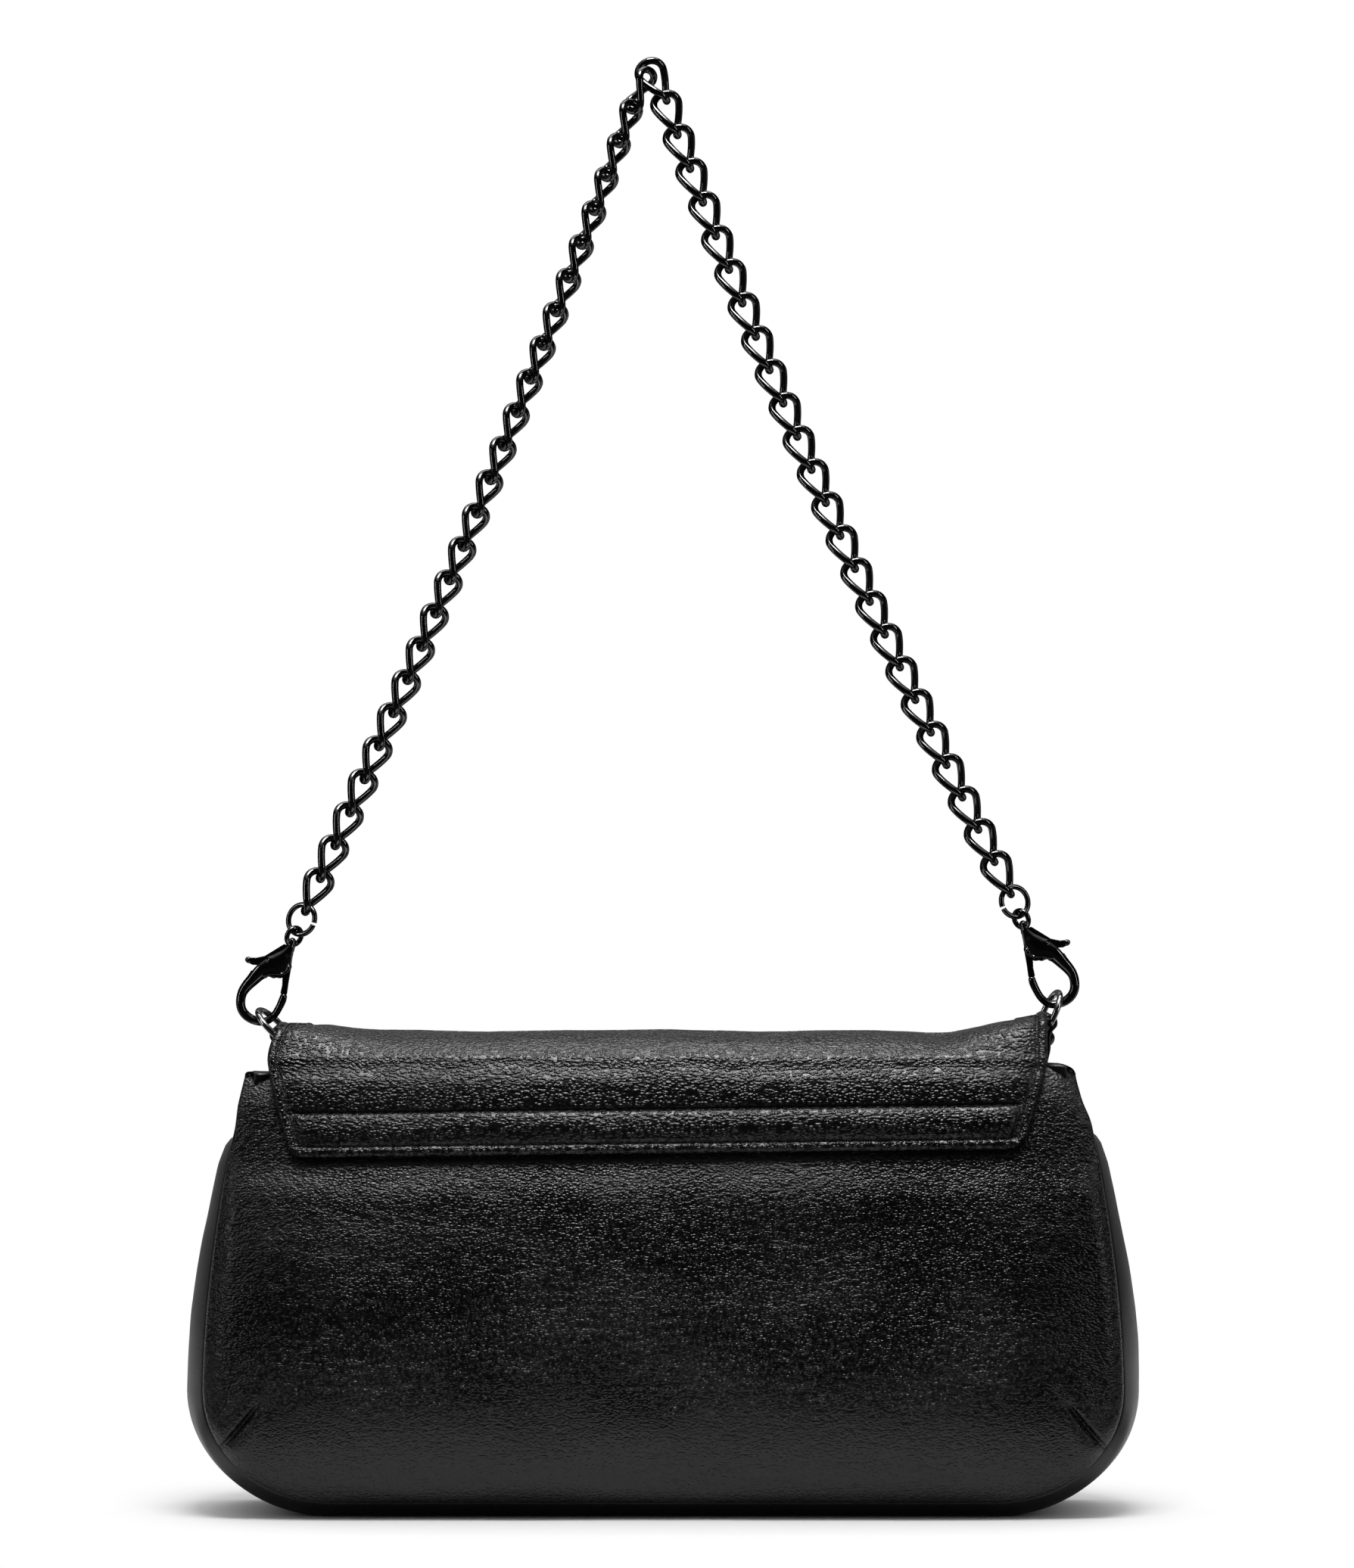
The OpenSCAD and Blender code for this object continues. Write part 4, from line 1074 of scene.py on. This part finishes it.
def flap_stitching():
    """Threads along the flap's edges and along the top of its channel."""
    p, out, _ = flap_all
    column = int(np.argmin(np.abs(edge_columns - stitch_in)))
    low = int(np.argmin(np.abs(rear_rows - stitch_in)))
    high = int(np.argmin(np.abs(rear_rows - channel_h)))
    inner = int(np.argmin(np.abs(edge_columns - 5.7)))
    rear, front = [], []
    for c in (column, -1 - column):
        rear += stitch_parts(p[low:split, c], out[low:split, c])
        front += stitch_parts(p[split:split + 34, c], out[split:split + 34, c])
    for row, end in ((low, column), (high, inner)):
        rear += stitch_parts(p[row, end:-end], out[row, end:-end])
    line = front_outline(stitch_in)
    path = xyz(line[:, 0], front_out(line[:, 0], line[:, 1]) - 0.3, line[:, 1])
    front += stitch_parts(path, np.tile([0, 1.0, 0], (len(path), 1)))
    bending_piece("flap_rear_stitching", joined(rear), thread_fabric, "leather")
    bending_piece("flap_front_stitching", joined(front), thread_fabric, "leather")


flap_stitching()


# Ring tabs, rings, jump rings and chain


def leaning(deg, side):
    """Unit vector, x and z, that leans from straight up towards a side."""
    a = math.radians(deg)
    return np.array([side * math.sin(a), math.cos(a)])


def turned(v, axis, angle):
    """Vectors turned about an axis, each by its own angle in radians."""
    along = axis * np.sum(v * axis, axis=-1, keepdims=True)
    crossed = np.cross(np.broadcast_to(axis, v.shape), v)
    return along + (v - along) * np.cos(angle) + crossed * np.sin(angle)


def ring_tab(side, word):
    """Leather loop round the bar of a D-ring, twisted at its top with the ring."""
    z = bar_z[side]
    mid = ring_wire / 2 + tab_gap + tab_t / 2
    turn = np.radians(np.linspace(-48, 228, 40))
    loop = np.column_stack([mid * np.cos(turn), z + mid * np.sin(turn)])
    lane = tab_t / 2
    rise = np.array([[lane, tab_low_z], [lane, (tab_low_z + z) / 2], [lane * 1.05, z - 3.6]])
    path = spline(np.vstack([rise, loop, rise[::-1] * [-1, 1]]), 120)
    path[:, 0] -= side * tab_shift * ease(z - 7, z - 12, path[:, 1])
    across = sine_steps(25) * tab_w / 2
    along = unit(np.gradient(path, axis=0))
    outward = xyz(along[:, 1], 0, -along[:, 0])[:, None]
    middle = xyz(side * tab_x + path[:, 0], strap_y, path[:, 1])[:, None]
    points = middle + outward * tab_t / 2 + across[None, :, None] * np.array([0, 1, 0])
    into = np.broadcast_to(-outward, points.shape)
    axis = np.insert(leaning(ring_lean[side], side), 1, 0)
    yaw = (np.radians(side * ring_yaw) * ease(z - 4.2, z - 0.8, points[..., 2]))[..., None]
    centre = np.array([side * tab_x, strap_y, z])
    points = centre + turned(points - centre, axis, yaw)
    length = np.linspace(0, 1, len(path)) * lengths(path)[-1]
    edge = np.minimum(tab_w / 2 - np.abs(across)[None], np.minimum(length, length[::-1])[:, None])
    sheet = sheet_mesh(points, turned(into, axis, yaw), tab_t, edge)
    node = f"ring_tab_{word}"
    new_piece(node + "_leather", *sheet, plain_leather, "bag", "leather", (node,))


ring_corner_r = 1.5


def d_ring(side, word):
    """Ring of round wire with a straight bar."""
    turn = np.linspace(0, math.pi, 33)
    arc = np.column_stack([ring_r * np.cos(turn), ring_leg + ring_r * np.sin(turn)])
    r = ring_corner_r
    low = np.radians(np.linspace(180, 270, 8))
    corner = np.column_stack([-ring_r + r + r * np.cos(low), r + r * np.sin(low)])
    flat = even(np.vstack([arc, corner, corner[::-1] * [-1, 1], arc[:1]]), 110, closed=True)
    turn = rotation("y", side * ring_lean[side]) @ rotation("z", side * ring_yaw)
    path = xyz(0, flat[:, 0], flat[:, 1]) @ turn.T + [side * tab_x, strap_y, bar_z[side]]
    wire = wire_mesh(path, ring_wire, 18, closed=True)
    node = f"d_ring_{word}"
    new_piece(node + "_wire", *wire, gunmetal, f"ring_{word}", "gunmetal", (node,))


def eye_at(side):
    ring_top = np.array([side * tab_x, bar_z[side]]) + (ring_leg + ring_r) * leaning(ring_lean[side], side)
    down, across = leaning(180 - clasp_tilt, side), leaning(90 - clasp_tilt, side)
    return ring_top - hook_seat_share * clasp_l * down - seat_share[side] * clasp_l * across


def jump_at(side):
    return eye_at(side) + (jump_r + jump_seat) * leaning(jump_lean[side], -side)


def jump_ring(side, word):
    """Split ring between a clasp and the chain."""
    turn = np.radians(np.linspace(0, 360 - jump_split, 90))
    path = jump_r * xyz(np.cos(turn), 0, np.sin(turn))
    for axis, deg in (("y", -jump_split), ("y", 0 if side == LEFT else 180), ("z", jump_turn[side]),
                      ("y", -side * jump_lean[side])):
        path = path @ rotation(axis, deg).T
    x, z = jump_at(side)
    wire = wire_mesh(path + [x, strap_y, z], jump_skin_wire)
    node = f"jump_ring_{word}"
    new_piece(node + "_wire", *wire, black_nickel, "strap", "black_nickel", (node,))


def link_shape():
    """A curb link along Z, broad along X at its middle and twisted evenly from end to end."""
    turn = np.linspace(0, 2 * math.pi, 161)
    x = link_r * np.cos(turn)
    z = link_r * np.sin(turn) + (link_l / 2 - link_r) * np.clip(8 * np.sin(turn), -1, 1)
    twist = np.radians(link_twist) * z / (link_l / 2)
    path = even(xyz(x * np.cos(twist), x * np.sin(twist), z), 96, closed=True)
    return wire_mesh(path, chain_wire, closed=True)


first_step = link_l / 2 + jump_r - jump_wire / 2 - chain_wire / 2 - link_play


steps = np.array([first_step] + [link_pitch] * strand_links)
bow_shares = 1 - 2 * np.arange(strand_links + 1) / strand_links


def chord(side):
    return float(np.sum(steps * np.cos(np.radians(bow[side] * bow_shares))))


top_offset = link_pitch * np.array(top_offset_share)
base_vector = jump_at(RIGHT) - jump_at(LEFT) - top_offset[[0, 2]]
base_len = float(np.linalg.norm(base_vector))
base_tilt = math.degrees(math.atan2(base_vector[1], base_vector[0]))


def chord_lean(side):
    c, o = chord(side), chord(-side)
    angle = math.degrees(math.acos((base_len**2 + c**2 - o**2) / (2 * base_len * c)))
    return 90 - angle + side * base_tilt


def strand(side, word):
    """Links of one side of the strap, each in its own place. The last one has turns of its own."""
    points, faces = link_shape()
    at = jump_at(side)
    parts = []
    for k in range(strand_links + 1):
        deg = tip = chord_lean(side) + bow[side] * bow_shares[k]
        y, turn = strap_y, mix(*roll[side], k / strand_links)
        if k == strand_links:
            deg, tip, turn = tip + top_turns[side][0], tip + top_turns[side][1], top_turns[side][2]
            y += 0 if side == LEFT else top_offset[1]
        at = at + steps[k] * leaning(deg, -side)
        placed = points @ rotation("z", turn).T @ rotation("y", -side * tip).T + [at[0], y, at[1]]
        parts.append((placed, faces))
    node = f"chain_{word}"
    new_piece(node + "_links", *joined(parts), black_nickel, "strap", "black_nickel", (node,))


for side, word in ((LEFT, "left"), (RIGHT, "right")):
    ring_tab(side, word)
    d_ring(side, word)
    jump_ring(side, word)
    strand(side, word)


# Clasps

# Middle lines in shares of the clasp's length: down from the eye, to the knob's side, half width and
# half thickness
shank_shares = np.array([[0.055, -0.004, 0.04, 0.05], [0.11, -0.012, 0.045, 0.068],
                         [0.2, -0.002, 0.08, 0.083], [0.27, 0.014, 0.112, 0.087],
                         [0.33, 0.032, 0.138, 0.087], [0.375, 0.055, 0.14, 0.084], [0.4, 0.07, 0.11, 0.075]])
hook_shares = np.array([[0.38, 0.1, 0.1, 0.08], [0.47, 0.168, 0.083, 0.068], [0.565, 0.202, 0.067, 0.06],
                        [0.66, 0.235, 0.057, 0.056], [0.739, 0.246, 0.05, 0.053],
                        [0.825, 0.225, 0.048, 0.053], [0.89, 0.182, 0.047, 0.053],
                        [0.93, 0.11, 0.047, 0.053], [0.938, 0.015, 0.045, 0.053],
                        [0.906, -0.082, 0.041, 0.052], [0.82, -0.138, 0.038, 0.05],
                        [0.72, -0.154, 0.038, 0.048], [0.64, -0.155, 0.04, 0.047],
                        [0.6, -0.15, 0.037, 0.043]])
lip_shares = np.array([[0.3, -0.078, 0.03, 0.083], [0.352, -0.078, 0.028, 0.083],
                       [0.388, -0.056, 0.028, 0.082], [0.408, -0.01, 0.028, 0.08],
                       [0.435, 0.05, 0.028, 0.076], [0.475, 0.11, 0.028, 0.07]])
slot_shares = (0.14, 0.49)
lever_shares = np.array([[0.13, -0.04], [0.2, -0.07], [0.33, -0.11], [0.45, -0.14], [0.56, -0.172],
                         [0.576, -0.168], [0.583, -0.14], [0.587, -0.118], [0.578, -0.106], [0.5, -0.09],
                         [0.43, -0.062], [0.33, -0.03], [0.3, 0.0], [0.335, 0.06], [0.38, 0.15],
                         [0.415, 0.215], [0.435, 0.27], [0.43, 0.32], [0.405, 0.345], [0.375, 0.325],
                         [0.352, 0.262], [0.3, 0.19], [0.19, 0.115], [0.11, 0.06], [0.11, 0.02]])
knob_share = (0.405, 0.322)
knob_half = (0.95, 1.1, 1.1)
voxel = 0.16


def oval_tube(shares):
    """Closed oval tube along a middle line in the clasp's plane, its ends rounded."""
    line = spline(shares * clasp_l, 40)
    path = xyz(line[:, 0], line[:, 1], 0)
    tangent = unit(np.gradient(path, axis=0))
    across = unit(np.cross([0, 0, 1.0], tangent))
    other = np.cross(tangent, across)
    rings = ring_points(path, across * line[:, 2:3], other * line[:, 3:], turns(24))
    caps = []
    for k, sign in ((0, -1), (-1, 1)):
        r = float(min(line[k, 2:]))
        caps.append([path[k] + (rings[k] - path[k]) * math.sqrt(1 - t * t) + tangent[k] * sign * r * t
                     for t in (0.45, 0.8, 0.97)])
    return loft_mesh(np.concatenate([caps[0][::-1], rings, caps[1]]))


def plate(shares, thickness):
    """Flat piece cut to an outline in the clasp's plane."""
    x, y = (shares * clasp_l).T
    n = len(x)
    faces = [list(range(n)), list(range(2 * n - 1, n - 1, -1))]
    faces += [[i, i + n, (i + 1) % n + n, (i + 1) % n] for i in range(n)]
    return np.vstack([xyz(x, y, -thickness / 2), xyz(x, y, thickness / 2)]), faces


def ellipsoid(centre, half):
    """A round knob."""
    a = turns(20)
    round_line = xyz(np.cos(a), np.sin(a), 1)
    levels = np.linspace(-1, 1, 13)[1:-1] * math.pi / 2
    return loft_mesh([round_line * half * [math.cos(t), math.cos(t), math.sin(t)] + centre for t in levels])


def box_part(low, high):
    corners = np.array(list(product(*zip(low, high))), float)
    return corners, [[0, 1, 3, 2], [4, 6, 7, 5], [0, 4, 5, 1], [2, 3, 7, 6], [0, 2, 6, 4], [1, 5, 7, 3]]


def modify(piece, kind, **settings):
    modifier = piece.modifiers.new(kind.lower(), kind)
    for key, value in settings.items():
        setattr(modifier, key, value)


def fused(name, parts, cutter=None):
    """One smooth casting from several parts, less a cutter."""
    piece = mesh_object(name, *joined(parts))
    modify(piece, "REMESH", mode="VOXEL", voxel_size=voxel * MM)
    modify(piece, "SMOOTH", factor=0.5, iterations=5)
    if cutter:
        tool = mesh_object(name + "_cut", *cutter)
        modify(piece, "BOOLEAN", operation="DIFFERENCE", object=tool, solver="EXACT")
    bpy.context.view_layer.update()
    mesh = bpy.data.meshes.new_from_object(piece.evaluated_get(bpy.context.evaluated_depsgraph_get()))
    piece.modifiers.clear()
    piece.data = mesh
    if cutter:
        bpy.data.objects.remove(tool)
    return piece


def place_clasp_piece(piece, side, body, node):
    """Moves a piece's mesh from the clasp's own frame to its place."""
    mesh = piece.data
    co = np.zeros(len(mesh.vertices) * 3)
    mesh.vertices.foreach_get("co", co)
    co = co.reshape(-1, 3) @ rotation("x", 90).T @ rotation("y", 90 - clasp_tilt).T
    x, z = eye_at(side) * MM
    if side == LEFT:
        co[:, 0] = -co[:, 0]
        mesh.flip_normals()
    mesh.vertices.foreach_set("co", (co + [x, strap_y * MM, z]).ravel())
    mesh.update()
    smooth_shaded(mesh, black_nickel)
    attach(piece, body)
    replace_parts(piece, node)


def clasp(side, word):
    """Cast body with a slot for its lever, and the lever with its knob."""
    line = eye_r * xyz(np.cos(turns(48)), np.sin(turns(48)), 0)
    eye = wire_mesh(line @ rotation("x", eye_turn).T, eye_wire, 16, closed=True)
    start, end = np.array(slot_shares) * clasp_l
    slot_cut = box_part((start, -clasp_l, -slot_t / 2), (end, clasp_l, slot_t / 2))
    tubes = [oval_tube(shares) for shares in (shank_shares, hook_shares, lip_shares)]
    body = fused(f"clasp_{word}_casting", [*tubes, eye], slot_cut)
    place_clasp_piece(body, side, "strap", f"clasp_body_{word}")
    knob = ellipsoid(np.array([*knob_share, 0]) * clasp_l, knob_half)
    lever = fused(f"clasp_{word}_gate", [plate(lever_shares, lever_t), knob])
    place_clasp_piece(lever, side, f"lever_{word}", f"clasp_lever_{word}")


clasp(LEFT, "left")
clasp(RIGHT, "right")


# Solids that stay: small metal parts and the board


def dress(node, material, round_edge):
    piece = cad_nodes[node]
    piece.data.materials.clear()
    piece.data.materials.append(material)
    if round_edge:
        modify(piece, "BEVEL", width=round_edge * MM, segments=2, limit_method="ANGLE",
               angle_limit=math.radians(50), harden_normals=True)


for node in ("snap_socket", "snap_stud"):
    dress(node, gunmetal, 0.25)
    dress(node + "_washer", gunmetal, 0.1)
for word in ("left", "right"):
    dress(f"rivet_{word}", black_nickel, 0)
    dress(f"clasp_pin_{word}", gunmetal, 0.1)
    dress(f"clasp_spring_{word}", gunmetal, 0)
dress("base_board", board_fibre, 0.8)


# Stage, camera and light

photo_w = 1789
photo_h = 2072
mm_per_px = 0.2155
middle_px = 876.5
ground_px = 1998.5
camera_far = 2000.0
sensor = 36.0
aim_drop = 0.9
floor_half = 6.0
lamp_aim = (0, 0, 0.1)


def camera():
    data = bpy.data.cameras.new("camera")
    data.sensor_width = sensor
    data.lens = sensor * camera_far / (photo_h * mm_per_px)
    data.clip_start, data.clip_end = 0.05, 30
    eye = scene_object("camera", data)
    x = (photo_w / 2 - middle_px) * mm_per_px
    z = (ground_px - photo_h / 2) * mm_per_px - aim_drop
    eye.location = (x * MM, -camera_far * MM, z * MM)
    eye.rotation_euler = (math.radians(90), 0, 0)
    bpy.context.scene.camera = eye


def area_light(name, place, aim, size, watts):
    data = bpy.data.lights.new(name, "AREA")
    data.shape = "RECTANGLE"
    data.size, data.size_y = size
    data.energy = watts
    lamp = scene_object(name, data)
    lamp.location = place
    lamp.rotation_euler = (Vector(aim) - Vector(place)).to_track_quat("-Z", "Y").to_euler()


def floor():
    """A pale floor, plain white for the camera away from the bag and darker to all other rays."""
    square = np.array([[-1, -1, 0], [1, -1, 0], [1, 1, 0], [-1, 1, 0]]) * floor_half / MM
    piece = mesh_object("floor", square, [(0, 1, 2, 3)])
    material, tree, shader = start_material("floor")
    shader.inputs["Base Color"].default_value = (0.86, 0.86, 0.87, 1)
    shader.inputs["Roughness"].default_value = 0.9
    shader.inputs["Specular IOR Level"].default_value = 0.1
    place = add(tree, "ShaderNodeTexCoord", out="Object")
    length = add(tree, "ShaderNodeVectorMath", place, operation="LENGTH", out="Value")
    forward = add(tree, "ShaderNodeSeparateXYZ", place, out="Y")
    camera_ray = add(tree, "ShaderNodeLightPath", out="Is Camera Ray")
    white = add(tree, "ShaderNodeEmission", Strength=1.0)
    dark = add(tree, "ShaderNodeBsdfDiffuse", Color=(0.02, 0.02, 0.02, 1))
    seen = calc(tree, "MULTIPLY", mapped(tree, length, 0.1, 0.2), camera_ray)
    blend = add(tree, "ShaderNodeMixShader", seen, shader.outputs[0], white)
    table = calc(tree, "MULTIPLY", mapped(tree, length, 0.12, 0.21, 0.14, 1.0),
                 mapped(tree, forward, -0.02, 0.1, 1.0, 0.2))
    mirrored = calc(tree, "MULTIPLY", table, calc(tree, "SUBTRACT", 1.0, camera_ray))
    reflected = add(tree, "ShaderNodeMixShader", mirrored, blend, dark)
    put(tree, tree.nodes["Material Output"].inputs["Surface"], reflected)
    piece.data.materials.append(material)


def world():
    """White for the camera. A darker studio for all other rays, lit from above and behind."""
    space = bpy.data.worlds.new("studio")
    bpy.context.scene.world = space
    space.use_nodes = True
    tree = space.node_tree
    background = tree.nodes["Background"]
    direction = add(tree, "ShaderNodeTexCoord", out="Generated")
    behind = mapped(tree, add(tree, "ShaderNodeSeparateXYZ", direction, out="Y"), 0.1, 1.0, 0.012, 0.22)
    above = mapped(tree, add(tree, "ShaderNodeSeparateXYZ", direction, out="Z"), 0.6, 0.97, 0.0, 0.9)
    camera_ray = add(tree, "ShaderNodeLightPath", out="Is Camera Ray")
    level = calc(tree, "MAXIMUM", calc(tree, "MAXIMUM", behind, above), camera_ray)
    put(tree, background.inputs["Strength"], level)
    background.inputs["Color"].default_value = (1, 1, 1, 1)


camera()
area_light("key", (0.02, -0.36, 1.25), lamp_aim, (0.5, 0.3), 11)
area_light("top", (0, 0.3, 1.25), lamp_aim, (1.0, 0.5), 4.5)
for side in (LEFT, RIGHT):
    area_light("strip", (side * 0.9, -0.45, 0.45), (0, 0, 0.2), (0.06, 0.7), 1.2)
floor()
world()
bpy.context.scene.view_settings.view_transform = "Standard"
